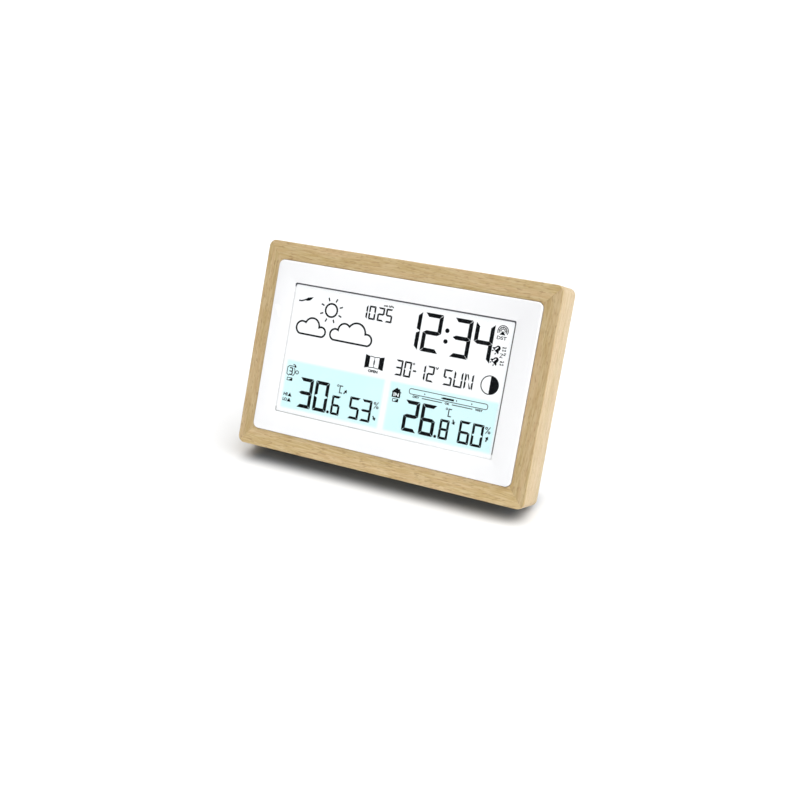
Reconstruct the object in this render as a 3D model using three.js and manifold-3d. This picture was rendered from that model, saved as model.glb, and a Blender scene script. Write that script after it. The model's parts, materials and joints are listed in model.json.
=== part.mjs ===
// Home weather station: a mitred beech frame with a white front, a backlit liquid crystal display,
// a moulded rear cover with a battery compartment and a fold-out stand.
// Every piece of the housing is drawn in the housing's own frame, in millimetres: +X to the right of
// someone reading the display, +Y from the display into the housing, +Z up along the display.
// The housing group then leans back onto its stand, so that the exported group stands on Z = 0.
import * as THREE from "three";
import { mergeVertices } from "three/addons/utils/BufferGeometryUtils.js";
import Module from "manifold-3d";

const wasm = await Module();
wasm.setup();

// Driving dimensions, mm
const WIDTH = 200;
const HEIGHT = 134;
const DEPTH = 26; // of the wooden frame
const LEAN = THREE.MathUtils.degToRad(23); // of the display from the vertical
const FOOT_LIFT = 1; // of the frame's lower rear edge above the table
const MID = HEIGHT / 2;
const FIT = 0.15; // between pieces that rest on each other
const PAST = 2; // how far a cutting solid runs on outside what it cuts
const CORNERS = [[-1, 1], [1, 1], [-1, -1], [1, -1]]; // signs of x and z

// Wooden frame
const CORNER_R = 4.5;
const ARRIS = 1;
const LEDGE_Y = 1.6; // depth of the seat that the fascia drops into
const LEDGE = 3.2; // width of that seat
const MITRE_GAP = 0.1;
const FOOT = { x: 72, half: 10, near: 20.5, far: DEPTH - ARRIS };

// White fascia, its window, the lens behind the window and the gasket between them
const FASCIA = { w: 179.6, h: 110.7, r: 3.8, front: -1.6, back: LEDGE_Y - 0.2, bevel: 0.6 };
const FASCIA_GAP = 0.25;
const FASCIA_POST = { r: 2.9, bore: 1.45, root: 0.6, floor: 0.4 };
const WINDOW = { w: 151.2, h: 83.8, r: 1.2 };
const WINDOW_Z = MID + 0.2;
const LIP_BACK = -0.9; // rear of the thin lip round the window
const LENS = { w: 153.8, h: 87.8, r: 1.2, front: -0.5, back: 0.3 };
const LENS_GAP = 0.3;
const GASKET = { front: LIP_BACK + 0.1, back: LENS.front - FIT };
const GASKET_HOLE = { w: 149.4, h: 82.3, r: 0.9 };
const OPENING = { w: FASCIA.w + 2 * FASCIA_GAP, h: FASCIA.h + 2 * FASCIA_GAP, r: 4.05 };
const REAR_OPENING = { w: OPENING.w - 2 * LEDGE, h: OPENING.h - 2 * LEDGE, r: 3 };

// Display module: each layer from its front to its back
const GLASS = { w: 153.2, h: 86 };
const FRONT_GLASS_Y = [0.5, 1.6];
const REAR_GLASS_Y = [1.75, 2.8];
const DIFFUSER_Y = [2.95, 3.25];
const GUIDE_Y = [3.4, 5.9];
const REFLECTOR_Y = [6.1, 6.4];
const GUIDE = { w: 151, h: 84, r: 0.5 };
const LAMP = { thick: 0.6, half: 2, dz: [-30, -18, -6, 6, 18, 30] };
const LAMP_STRIP = { gap: 0.25, thick: 0.5, half: 40 };
const CONTACT_EDGE = 4; // the front glass reaches this much lower than the rear glass
const CONTACT_HALF = 60;
const CARRIER = { w: 156.2, h: 96, front: 0.5, back: 7.8, floor: 6.7, low: MID - 49.2, wall: 1.2 };
const CARRIER_POSTS = [[-72, 27], [52, 27], [-72, 92], [52, 92]];

// Boards and what they carry
const BOARD_Y = [9.5, 11.1];
const ON_BOARD = BOARD_Y[1] + FIT;
const MAIN_BOARD = { x0: -77, x1: 58, z0: 19, z1: 97 };
const CONTROLLER = { x: 10, z: 60, profile: [[0, 0], [8, 0], [7.2, 1.1], [4.6, 1.9], [0, 2.2]] };
const CRYSTAL = { x: 26, z: 60, r: 1.5, length: 7 };
const PRESSURE = { x: -8, z: 84, half: 2.5, high: 1.6, port: 0.5 };
const RECEIVER = { x: -64, z: 36, half_w: 10, half_h: 7, thick: 1 };
const AERIAL = { x: -71, z: 40, r: 0.5, bend: 6, top: 46, steps: 10 };
const FERRITE = { y: 15.6, z: 106.5, r: 4, x0: 33, x1: 76 };
const WINDING = { r: 5.2, x0: 44, x1: 64 };
const KEY_BOARD_Y = [20.4, 22];
const KEY_BOARD_LIMBS = [[-76, -48, 43, 111], [-49, 30, 98.5, 111]]; // x0, x1, z0, z1
const BOARD_SCREWS = [[-73, 46], [26.5, 105]];
const BOARD_SCREW = { head: 2.2, seat: 1.4, shank: 1.1, length: 4.4, hole: 1.4, post: 2.6, bore: 1.25 };
const RIBBON = { x: -60, z: 84, half: 7, thick: 0.8, slack: 4, steps: 8 };
const SENSOR = { y: 23.5, half_w: 7, half_h: 6, chip: 3, thick: 1, high: 2.6 };

// Rear cover
const COVER = { w: REAR_OPENING.w - 0.7, h: REAR_OPENING.h - 0.7, r: 2.6, front: 11.4, rear: 30, wall: 1.8 };
const FLANGE = { w: COVER.w + 8, h: COVER.h + 8, r: 5, front: DEPTH + 0.2, bevel: 0.8 };
const PANEL = COVER.rear - 2; // inner face of the rear panel
const OUT = COVER.rear + PAST;
const POST = { x: 81.6, dz: 45, r: 4.3, bore: 1.6, sink: 3.1, seat: 14.6 };
const POSTS = CORNERS.map(([sx, sz]) => [sx * POST.x, MID + sz * POST.dz]);
const SCREW = { head: 2.7, high: 1.9, shank: 1.25, length: 9.2, chamfer: 0.7 };

// Battery compartment, for three AAA cells side by side
const CELL = { r: 5.2, length: 44.5, nub: 1.9, nub_length: 1.2, pitch: 11.6, y: 22.6, chamfer: 0.5 };
const BAY = { x0: 30, x1: 83, z0: 31, z1: 67, floor: 17, wall: 2.4 };
const BAY_MID = (BAY.z0 + BAY.z1) / 2;
const CONTACT = { thick: 0.4, half: 4.4, reach: 4.6, gap: 0.2, bump: 2.4, bump_length: 1.2 };
const SPRING = { length: 5.6, wire: 0.3, wide: 3.6, taper: 1.6, turns: 3.5, steps: 30 };
const DOOR = { x0: 28.3, x1: 83.7, z0: 29.3, z1: 69.7, r: 1, front: 28.45, gap: 0.3 };
const DOOR_X = (DOOR.x0 + DOOR.x1) / 2;
const TAB_X = [40, 71.5];
const TAB = { w: 5, reach: 2.1, front: 26.4, back: 27.8, play: 0.5, rise: 2 };
const LATCH = { half: 5, deep: 7, slit: 0.8 };
const LATCH_NOTCH = { half: 7, deep: 1.2, high: 4 };
const DOOR_RIB = { dx: 21, half: 0.5, inset: 4, proud: 0.5 };

// Fold-out stand
const HINGE = { y: 27.6, z: 74, r: 1.25, knuckle: 2.6, reach: 28.2, play: 0.2 };
const STAND = { w: 50, front: -1.1, back: 2.1, heel: 3.2, heel_y: 0.9, spread: 48 };
const STAND_PANEL = { inset: 5, deep: 1, low: 6, top: -8 };
const STAND_GRIP = { half: 10, deep: 1.2, low: 4, high: 12 };
const STAND_BAY = { half: 25.6, floor: 24.6, wall: 1.6, side: 1.8, top: HINGE.z + 3.8 };
const PIN_BOSS = { near: 0.2, far: 3.6, high: 8 };
const PAD_T = 2;

// Keys on the rear
const KEY_X = -62;
const KEYS = { set_button: 94, alarm_button: 83, memory_button: 72, plus_button: 61, minus_button: 50 };
const KEY = { w: 13, h: 6, proud: 1.2, travel: 0.5, bevel: 0.5, stem: 1.8, flange: 1 };
const KEY_GAP = 0.3;
const LIGHT_KEY = { x: 0, z: 104.5, w: 40, h: 8 };
const SWITCH = { half: 3, body: 3.4, step: 2.9, cap: 2.2, plunger: 1.7, top: 25.6 };

// Wall hanger, vents, sounder and inlet
const KEYHOLE = { z: 86.5, r: 4.75, slot: 2.4, top: 92.5, floor: 23.6 };
const HANGER = { half: 7.2, z0: 79.6, z1: 97, wall: 1.5 };
const VENT = { x: 58, z: 104, count: 9, pitch: 4, w: 1.6, h: 10 };
const BUZZER = { x: 55, z: 84, r: 10, front: 22.4, rim: 3.4, high: 4.2, port: 1.5, port_deep: 1.2 };
const SOUND_HOLES = { r: 1, circle: 4, count: 6 };
const INLET = { x: -60, z: 27, r: 3.6, bore: 2.8, pin: 1, front: 15.8, depth: 9, half_w: 4.6, half_h: 5.5 };
const INLET_BODY = 11;

const materials = {
  beech: new THREE.MeshStandardMaterial({ color: 0xd9b787, roughness: 0.6 }),
  white: new THREE.MeshStandardMaterial({ color: 0xf6f6f8, roughness: 0.25 }),
  clear: new THREE.MeshStandardMaterial({ color: 0xf2f8fa, roughness: 0.05 }),
  display: new THREE.MeshStandardMaterial({ color: 0xeef4f4, roughness: 0.2 }),
  foam: new THREE.MeshStandardMaterial({ color: 0x8c8c90, roughness: 0.9 }),
  cover: new THREE.MeshStandardMaterial({ color: 0xf0f0f0, roughness: 0.45 }),
  key: new THREE.MeshStandardMaterial({ color: 0xd8dadc, roughness: 0.5 }),
  board: new THREE.MeshStandardMaterial({ color: 0x1f6a3c, roughness: 0.5 }),
  black: new THREE.MeshStandardMaterial({ color: 0x18181a, roughness: 0.5 }),
  steel: new THREE.MeshStandardMaterial({ color: 0xb8babd, roughness: 0.35, metalness: 1 }),
  copper: new THREE.MeshStandardMaterial({ color: 0xb5713c, roughness: 0.4, metalness: 1 }),
  rubber: new THREE.MeshStandardMaterial({ color: 0x2a2a2c, roughness: 0.9 }),
  cell: new THREE.MeshStandardMaterial({ color: 0x30363c, roughness: 0.35, metalness: 0.3 }),
};

const station = new THREE.Group();
const housing = new THREE.Group();
housing.rotation.x = -LEAN;
housing.position.z = FOOT_LIFT + DEPTH * Math.sin(LEAN);
station.add(housing);

// Solids from three.js geometry

function solid(geometry) {
  const bare = geometry.clone();
  bare.deleteAttribute("normal");
  bare.deleteAttribute("uv");
  const merged = mergeVertices(bare, 1e-4);
  return new wasm.Manifold(new wasm.Mesh({
    numProp: 3,
    vertProperties: merged.attributes.position.array,
    triVerts: new Uint32Array(merged.index.array),
  }));
}

function place(name, made, material, at = [0, 0, 0], parent = housing) {
  const { vertProperties, triVerts } = made.getMesh();
  const geometry = new THREE.BufferGeometry();
  geometry.setAttribute("position", new THREE.BufferAttribute(vertProperties, 3));
  geometry.setIndex(new THREE.BufferAttribute(triVerts, 1));
  geometry.computeVertexNormals();
  const mesh = new THREE.Mesh(geometry, materials[material]);
  mesh.name = name;
  mesh.position.set(...at);
  parent.add(mesh);
}

function joined(solids) {
  return solids.reduce((whole, piece) => whole.add(piece));
}

function without(whole, cuts) {
  return cuts.reduce((left, cut) => left.subtract(cut), whole);
}

// A block between two depths: x0..x1 across, y0..y1 deep, z0..z1 up.
function block(x0, x1, y0, y1, z0, z1) {
  const geometry = new THREE.BoxGeometry(x1 - x0, y1 - y0, z1 - z0);
  return solid(geometry.translate((x0 + x1) / 2, (y0 + y1) / 2, (z0 + z1) / 2));
}

function roundedRectangle(w, h, r) {
  const shape = new THREE.Shape();
  const [x, z] = [w / 2 - r, h / 2 - r];
  shape.absarc(x, z, r, 0, Math.PI / 2);
  shape.absarc(-x, z, r, Math.PI / 2, Math.PI);
  shape.absarc(-x, -z, r, Math.PI, 1.5 * Math.PI);
  shape.absarc(x, -z, r, 1.5 * Math.PI, 2 * Math.PI);
  return shape;
}

// A rounded plate facing the reader, centred on (x, z), between depths y0 and y1.
function plate({ w, h, r }, y0, y1, { x = 0, z = MID, bevel = 0, steps = 4, rings = 1 } = {}) {
  const geometry = new THREE.ExtrudeGeometry(roundedRectangle(w, h, r), {
    depth: y1 - y0 - 2 * bevel,
    bevelEnabled: bevel > 0,
    bevelThickness: bevel,
    bevelSize: bevel,
    bevelOffset: -bevel,
    bevelSegments: rings,
    curveSegments: steps,
  });
  return solid(geometry.rotateX(Math.PI / 2).translate(x, y1 - bevel, z));
}

// A round rod along the housing's depth.
function rodY(r, x, z, y0, y1, sides = 20) {
  return solid(new THREE.CylinderGeometry(r, r, y1 - y0, sides).translate(x, (y0 + y1) / 2, z));
}

// A round rod across the housing.
function rodX(r, y, z, x0, x1, sides = 20) {
  const geometry = new THREE.CylinderGeometry(r, r, x1 - x0, sides).rotateZ(Math.PI / 2);
  return solid(geometry.translate((x0 + x1) / 2, y, z));
}

// A profile of [y, z] points drawn across the housing from x0 to x1.
function across(points, x0, x1) {
  const shape = new THREE.Shape(points.map(([y, z]) => new THREE.Vector2(y, z)));
  const geometry = new THREE.ExtrudeGeometry(shape, { depth: x1 - x0, bevelEnabled: false });
  const axes = new THREE.Matrix4().makeBasis(
    new THREE.Vector3(0, 1, 0),
    new THREE.Vector3(0, 0, 1),
    new THREE.Vector3(1, 0, 0),
  );
  return solid(geometry.applyMatrix4(axes).translate(x0, 0, 0));
}

// A turned piece whose profile of [radius, height] points runs up the depth axis.
function turned(profile, sides = 20) {
  const points = profile.map(([radius, along]) => new THREE.Vector2(radius, along));
  return solid(new THREE.LatheGeometry(points, sides));
}

// Height of the table in the housing's frame, below a point at depth y
function tableZ(y) {
  return (y * Math.sin(LEAN) - housing.position.z) / Math.cos(LEAN);
}

// Wooden frame: a rounded ring, sawn into four bars along its mitres

function barName(bar) {
  const { min, max } = bar.boundingBox();
  const [x, z] = [(min[0] + max[0]) / 2, (min[2] + max[2]) / 2 - MID];
  if (Math.abs(x) > Math.abs(z)) return x > 0 ? "frame_right_bar" : "frame_left_bar";
  return z > 0 ? "frame_top_bar" : "frame_bottom_bar";
}

function makeFrame() {
  const blank = plate({ w: WIDTH, h: HEIGHT, r: CORNER_R }, 0, DEPTH, { bevel: ARRIS, rings: 2 });
  const ring = without(blank, [plate(OPENING, -PAST, LEDGE_Y), plate(REAR_OPENING, -PAST, DEPTH + PAST)]);
  const [barX, barZ] = [(WIDTH - OPENING.w) / 2, (HEIGHT - OPENING.h) / 2];
  const sawLength = 2 * Math.hypot(barX + LEDGE, barZ + LEDGE);
  const saws = CORNERS.map(([sx, sz]) => {
    const saw = new THREE.BoxGeometry(sawLength, DEPTH + 2 * PAST, MITRE_GAP);
    saw.rotateY(-Math.atan2(sz * barZ, sx * barX));
    return solid(saw.translate(sx * (WIDTH - barX) / 2, DEPTH / 2, MID + sz * (HEIGHT - barZ) / 2));
  });
  for (const bar of without(ring, saws).decompose()) place(barName(bar), bar, "beech");
}

// The space that the display's carrier fills, grown by a gap all round
function carrierBlock(gap, y0, y1) {
  const { w, h, low } = CARRIER;
  return block(-w / 2 - gap, w / 2 + gap, y0, y1, low - gap, low + h + gap);
}

function makeFascia() {
  const { front, back, bevel } = FASCIA;
  const lensSeat = { w: LENS.w + 2 * LENS_GAP, h: LENS.h + 2 * LENS_GAP, r: LENS.r + LENS_GAP };
  const bezel = without(plate(FASCIA, front, back, { bevel }), [
    plate(WINDOW, front - PAST, back + PAST, { z: WINDOW_Z }),
    plate(lensSeat, LIP_BACK, back + PAST),
    carrierBlock(0.4, CARRIER.front - FIT, back + PAST),
  ]);
  const { r, bore, root, floor } = FASCIA_POST;
  const posts = POSTS.map(([x, z]) => rodY(r, x, z, back - root, COVER.front - 0.4));
  const bores = POSTS.map(([x, z]) => rodY(bore, x, z, back + floor, COVER.front));
  place("front_fascia", without(joined([bezel, ...posts]), bores), "white");

  const gasketHole = plate(GASKET_HOLE, GASKET.front - PAST, GASKET.back + PAST);
  place("window_gasket", plate(LENS, GASKET.front, GASKET.back).subtract(gasketHole), "foam");
  place("window_lens", plate(LENS, LENS.front, LENS.back), "clear");
}

function makeDisplay() {
  const half = GLASS.w / 2;
  const [low, high] = [MID - GLASS.h / 2, MID + GLASS.h / 2];
  place("lcd_front_glass", block(-half, half, ...FRONT_GLASS_Y, low - CONTACT_EDGE, high), "display");
  place("lcd_rear_glass", block(-half, half, ...REAR_GLASS_Y, low, high), "display");
  place("backlight_diffuser", plate(GUIDE, ...DIFFUSER_Y), "white");
  place("light_guide", plate(GUIDE, ...GUIDE_Y), "clear");
  place("backlight_reflector", plate(GUIDE, ...REFLECTOR_Y), "white");

  // A narrow circuit board of lamps that lights the guide's right-hand edge
  const edge = GUIDE.w / 2 + LAMP_STRIP.gap;
  const lamps = LAMP.dz.map((dz) =>
    block(edge, edge + LAMP.thick, 3.6, 5.6, MID + dz - LAMP.half, MID + dz + LAMP.half));
  const board = edge + LAMP.thick - 0.2;
  const { thick, half: stripHalf } = LAMP_STRIP;
  const strip = block(board, board + thick, 3.3, 6.2, MID - stripHalf, MID + stripHalf);
  place("led_strip", joined([strip, ...lamps]), "board");
}

// The tray behind the display, and the rubber strip that joins the glass to the main board
function makeCarrier() {
  const { front, back, floor, wall } = CARRIER;
  const slotHalf = CONTACT_HALF + 0.5;
  const slotHigh = MID - GLASS.h / 2 - 0.4;
  const slotLow = slotHigh - CONTACT_EDGE + 0.6;
  const tray = without(carrierBlock(0, front, back), [
    carrierBlock(-wall, front - PAST, floor),
    block(-slotHalf, slotHalf, floor - PAST, back + PAST, slotLow, slotHigh),
  ]);
  const posts = CARRIER_POSTS.map(([x, z]) => rodY(2.5, x, z, back - 0.4, BOARD_Y[0] - FIT, 12));
  place("lcd_carrier", joined([tray, ...posts]), "white");
  const [near, far] = [REAR_GLASS_Y[0], BOARD_Y[0] - FIT];
  const strip = block(-CONTACT_HALF, CONTACT_HALF, near, far, slotLow + 0.4, slotHigh - 0.5);
  place("contact_strip", strip, "rubber");
}

function makeMainBoard() {
  const { x0, x1, z0, z1 } = MAIN_BOARD;
  place("main_board", block(x0, x1, ...BOARD_Y, z0, z1), "board");
  const blob = turned(CONTROLLER.profile, 16);
  place("display_controller", blob, "black", [CONTROLLER.x, ON_BOARD, CONTROLLER.z]);

  const { r, length } = CRYSTAL;
  const crystal = turned([[0, 0], [r, 0], [r, length], [0, length]], 10);
  place("clock_crystal", crystal, "steel", [CRYSTAL.x, ON_BOARD, CRYSTAL.z]);

  const { half, high, port } = PRESSURE;
  const bore = rodY(port, 0, 0, high - 0.6, high + PAST, 8);
  const can = block(-half, half, 0, high, -half, half).subtract(bore);
  place("pressure_sensor", can, "steel", [PRESSURE.x, ON_BOARD, PRESSURE.z]);
}

// The receiver of the outdoor sensor's signal, with its wire aerial
function makeReceiver() {
  const { half_w, half_h, thick } = RECEIVER;
  const receiver = joined([
    block(-half_w, half_w, 0, thick, -half_h, half_h),
    block(-6, 0, thick - 0.1, 2.4, -3, 3),
    block(3, 7, thick - 0.1, 3.4, -5, -1),
  ]);
  place("radio_receiver", receiver, "board", [RECEIVER.x, ON_BOARD, RECEIVER.z]);
  const wire = new THREE.CatmullRomCurve3([
    new THREE.Vector3(0, 0, 0),
    new THREE.Vector3(0, 3, 0),
    new THREE.Vector3(1, 4, AERIAL.bend),
    new THREE.Vector3(1, 4, AERIAL.top),
  ]);
  const section = new THREE.Shape().absarc(0, 0, AERIAL.r, 0, 2 * Math.PI);
  const path = { steps: AERIAL.steps, curveSegments: 3, extrudePath: wire };
  const aerial = solid(new THREE.ExtrudeGeometry(section, path));
  place("receiver_aerial", aerial, "copper", [AERIAL.x, ON_BOARD + thick + FIT, AERIAL.z]);
}

// Ferrite rod and winding that pick up the time signal
function makeTimeAerial() {
  const { y, z, r, x0, x1 } = FERRITE;
  place("time_aerial_rod", rodX(r, y, z, x0, x1, 16), "black");
  const winding = rodX(WINDING.r, y, z, WINDING.x0, WINDING.x1, 16);
  place("time_aerial_coil", winding.subtract(rodX(r + 0.2, y, z, x0, x1, 16)), "copper");
}

// The keys have a board of their own, screwed to the rear cover
function makeKeyBoard() {
  const [near, far] = KEY_BOARD_Y;
  const { head, seat, shank, length, hole } = BOARD_SCREW;
  const limbs = KEY_BOARD_LIMBS.map(([x0, x1, z0, z1]) => block(x0, x1, near, far, z0, z1));
  const holes = BOARD_SCREWS.map(([x, z]) => rodY(hole, x, z, near - PAST, far + PAST, 12));
  place("key_board", without(joined(limbs), holes), "board");

  const screw = turned([[0, 0], [head, 0], [head, seat], [shank, seat], [shank, length], [0, length]], 12);
  BOARD_SCREWS.forEach(([x, z], i) =>
    place("board_screw_" + (i + 1), screw, "steel", [x, near - seat - FIT, z]));

  // Flat cable between the two boards, slack in the middle
  const { steps, slack, thick, half } = RIBBON;
  const span = near - FIT - ON_BOARD;
  const run = Array.from({ length: steps + 1 }, (_, i) =>
    [ON_BOARD + (span * i) / steps, slack * Math.sin((Math.PI * i) / steps)]);
  const farSide = run.map(([y, z]) => [y, z + thick]).reverse();
  place("ribbon_cable", across([...run, ...farSide], -half, half), "white", [RIBBON.x, 0, RIBBON.z]);
}

function makeSwitches() {
  const { half, body, step, cap, plunger, top } = SWITCH;
  const base = KEY_BOARD_Y[1] + FIT;
  const tact = joined([
    without(block(-half, half, 0, body, -half, half), [
      block(-half - PAST, half + PAST, step, body + PAST, cap, half + PAST),
      block(-half - PAST, half + PAST, step, body + PAST, -half - PAST, -cap),
    ]),
    rodY(plunger, 0, 0, 1, top - base, 12),
  ]);
  Object.values(KEYS).forEach((z, i) => place("key_switch_" + (i + 1), tact, "black", [KEY_X, base, z]));
  place("light_switch", tact, "black", [LIGHT_KEY.x, base, LIGHT_KEY.z]);
}

// Humidity sensor behind the vent, sounder behind its holes, and the socket for a mains adapter
function makeRearParts() {
  const { half_w, half_h, chip, thick, high } = SENSOR;
  const sensor = joined([
    block(-half_w, half_w, 0, thick, -half_h, half_h),
    block(-chip, chip, thick - 0.1, high, -chip, chip),
  ]);
  place("humidity_sensor", sensor, "board", [VENT.x, SENSOR.y, VENT.z - 1.5]);

  const { r, rim, port, port_deep } = BUZZER;
  const sounder = turned([[0, 0], [r, 0], [r, rim], [r - 1, BUZZER.high], [port, BUZZER.high],
    [port, BUZZER.high - port_deep], [0, BUZZER.high - port_deep]]);
  place("buzzer", sounder, "black", [BUZZER.x, BUZZER.front, BUZZER.z]);

  const mouth = COVER.rear - INLET.front - 0.2;
  const inlet = joined([
    block(-INLET.half_w, INLET.half_w, 0, INLET_BODY, -INLET.half_h, INLET.half_h),
    rodY(INLET.r, 0, 0, INLET_BODY - 1, mouth),
  ]).subtract(rodY(INLET.bore, 0, 0, mouth - INLET.depth, mouth + PAST));
  const pin = rodY(INLET.pin, 0, 0, mouth - INLET.depth - 1, mouth - 1.2, 10);
  place("power_inlet", inlet.add(pin), "black", [INLET.x, INLET.front, INLET.z]);
}

// Rear cover

function coverBody() {
  const { front, rear, wall } = COVER;
  const inner = { w: COVER.w - 2 * wall, h: COVER.h - 2 * wall, r: 1 };
  const flange = plate(FLANGE, FLANGE.front, rear, { bevel: FLANGE.bevel });
  const envelope = plate(COVER, front, rear).add(flange);
  const shell = envelope.subtract(plate(inner, front - PAST, PANEL));

  const inside = rear - 1; // how far the inner features run into the panel
  const bay = block(BAY.x0 - BAY.wall, BAY.x1 + BAY.wall, BAY.floor - BAY.wall, inside,
    BAY.z0 - BAY.wall, BAY.z1 + BAY.wall);
  const { half, floor, wall: skin, side, top } = STAND_BAY;
  const low = MID - COVER.h / 2 + 0.3;
  const standBay = block(-half - side, half + side, floor - skin, inside, low, top + skin);
  const { near, far, high } = PIN_BOSS;
  const pinBosses = [[-half - far, -half - near], [half + near, half + far]].map((ends) =>
    block(...ends, floor - skin, inside, HINGE.z - high / 2, HINGE.z + high / 2));
  const hanger = block(-HANGER.half, HANGER.half, KEYHOLE.floor - 1.2, inside, HANGER.z0, HANGER.z1);
  const posts = POSTS.map(([x, z]) => rodY(POST.r, x, z, front, inside));
  const boardPosts = BOARD_SCREWS.map(([x, z]) =>
    rodY(BOARD_SCREW.post, x, z, KEY_BOARD_Y[1] + FIT, inside, 14));
  const features = [bay, standBay, ...pinBosses, hanger, ...posts, ...boardPosts];
  return joined([shell, ...features]).intersect(envelope);
}

function batteryCuts() {
  const { x0, x1, z0, z1, gap, front } = DOOR;
  const half = TAB.w / 2 + TAB.play;
  const latchZ = z1 + gap;
  return [
    block(BAY.x0, BAY.x1, BAY.floor, OUT, BAY.z0, BAY.z1),
    block(x0 - gap, x1 + gap, front - FIT, OUT, z0 - gap, z1 + gap),
    // A finger notch over the door's latch
    block(DOOR_X - LATCH_NOTCH.half, DOOR_X + LATCH_NOTCH.half, COVER.rear - LATCH_NOTCH.deep, OUT,
      latchZ - 0.2, latchZ + LATCH_NOTCH.high),
    ...TAB_X.flatMap((x) => [
      block(x - half, x + half, TAB.front - 1.2, TAB.back + 0.2, z0 - TAB.reach - TAB.play, BAY.z0 + 1),
      block(x - half, x + half, TAB.front - 1.2, front, z0 - gap, BAY.z0 + 1),
    ]),
  ];
}

function hangerCuts() {
  const { half, z0, z1, wall } = HANGER;
  const { z, r, slot, top, floor } = KEYHOLE;
  return [
    block(-half + wall, half - wall, floor, PANEL, z0 + 1.4, z1 - wall),
    rodY(r, 0, z, PANEL - 1, OUT),
    block(-slot, slot, PANEL - 1, OUT, z, top),
    rodY(slot, 0, top, PANEL - 1, OUT, 16),
  ];
}

function ventCuts() {
  const { w, h, z, count, pitch } = VENT;
  const slots = Array.from({ length: count }, (_, i) => {
    const x = VENT.x + (i - (count - 1) / 2) * pitch;
    return block(x - w / 2, x + w / 2, PANEL - 1, OUT, z - h / 2, z + h / 2);
  });
  const hole = (dx, dz) => rodY(SOUND_HOLES.r, BUZZER.x + dx, BUZZER.z + dz, PANEL - 1, OUT, 12);
  const holes = Array.from({ length: SOUND_HOLES.count }, (_, i) => {
    const turn = (2 * Math.PI * i) / SOUND_HOLES.count;
    return hole(SOUND_HOLES.circle * Math.cos(turn), SOUND_HOLES.circle * Math.sin(turn));
  });
  return [...slots, ...holes, hole(0, 0)];
}

// The hole in the rear panel that a key passes through
function keyHole(x, z, w, h) {
  const size = { w: w + 2 * KEY_GAP, h: h + 2 * KEY_GAP, r: h / 2 + KEY_GAP - 0.5 };
  return plate(size, PANEL - 1, OUT, { x, z });
}

function makeRearCover() {
  const { bore, sink, seat } = POST;
  const cuts = [
    ...batteryCuts(),
    ...hangerCuts(),
    ...ventCuts(),
    block(-STAND_BAY.half, STAND_BAY.half, STAND_BAY.floor, OUT, 0, STAND_BAY.top),
    rodX(HINGE.r + FIT, HINGE.y, HINGE.z, -HINGE.reach - PAST, HINGE.reach + 0.3, 16),
    rodY(INLET.r + 0.3, INLET.x, INLET.z, PANEL - 1, OUT),
    ...POSTS.map(([x, z]) => rodY(bore, x, z, COVER.front - PAST, seat + 1, 16)),
    ...POSTS.map(([x, z]) => rodY(sink, x, z, seat, OUT)),
    ...BOARD_SCREWS.map(([x, z]) => rodY(BOARD_SCREW.bore, x, z, KEY_BOARD_Y[1], PANEL - 0.6, 12)),
    ...Object.values(KEYS).map((z) => keyHole(KEY_X, z, KEY.w, KEY.h)),
    keyHole(LIGHT_KEY.x, LIGHT_KEY.z, LIGHT_KEY.w, LIGHT_KEY.h),
  ];
  place("rear_cover", without(coverBody(), cuts), "cover");
}

// A key cap: a pill that stands proud of the panel, with a flange inside it and a stem to its switch
function keyCap(w, h) {
  const flangeBack = PANEL - FIT;
  const stemFront = SWITCH.top + KEY.travel + FIT;
  const pill = { w, h, r: h / 2 - 0.5 };
  const flange = { w: w + 2.4, h: h + 2, r: 1.5 };
  return joined([
    plate(pill, flangeBack - KEY.flange, COVER.rear + KEY.proud, { z: 0, bevel: KEY.bevel }),
    plate(flange, flangeBack - KEY.flange, flangeBack, { z: 0, steps: 2 }),
    rodY(KEY.stem, 0, 0, stemFront, flangeBack - 0.5, 12),
  ]);
}

function makeKeys() {
  for (const [name, z] of Object.entries(KEYS)) place(name, keyCap(KEY.w, KEY.h), "key", [KEY_X, 0, z]);
  place("light_button", keyCap(LIGHT_KEY.w, LIGHT_KEY.h), "key", [LIGHT_KEY.x, 0, LIGHT_KEY.z]);
}

function makeDoor() {
  const { x0, x1, z0, z1, r, front } = DOOR;
  const rear = COVER.rear;
  const outline = { w: x1 - x0, h: z1 - z0, r };
  const panel = plate(outline, front, rear, { x: DOOR_X, z: (z0 + z1) / 2, steps: 2 });
  const profile = [
    [TAB.back, z0 + 0.1],
    [TAB.back, z0 - TAB.reach],
    [TAB.front, z0 - TAB.reach],
    [TAB.front, z0 + TAB.rise],
    [front + 0.4, z0 + TAB.rise],
    [front + 0.4, z0 + 0.1],
  ];
  const tabs = TAB_X.map((x) => across(profile, x - TAB.w / 2, x + TAB.w / 2));
  const { dx, half, inset, proud } = DOOR_RIB;
  const ribs = [DOOR_X - dx, DOOR_X + dx].map((x) =>
    block(x - half, x + half, front - proud, front + 0.4, z0 + inset, z1 - inset));
  // A slit on either side frees the latch tongue at the upper edge
  const slits = [DOOR_X - LATCH.half, DOOR_X + LATCH.half].map((x) =>
    block(x - LATCH.slit / 2, x + LATCH.slit / 2, front - PAST, rear + PAST, z1 - LATCH.deep, z1 + PAST));
  place("battery_door", without(joined([panel, ...tabs, ...ribs]), slits), "cover");
}

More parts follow.
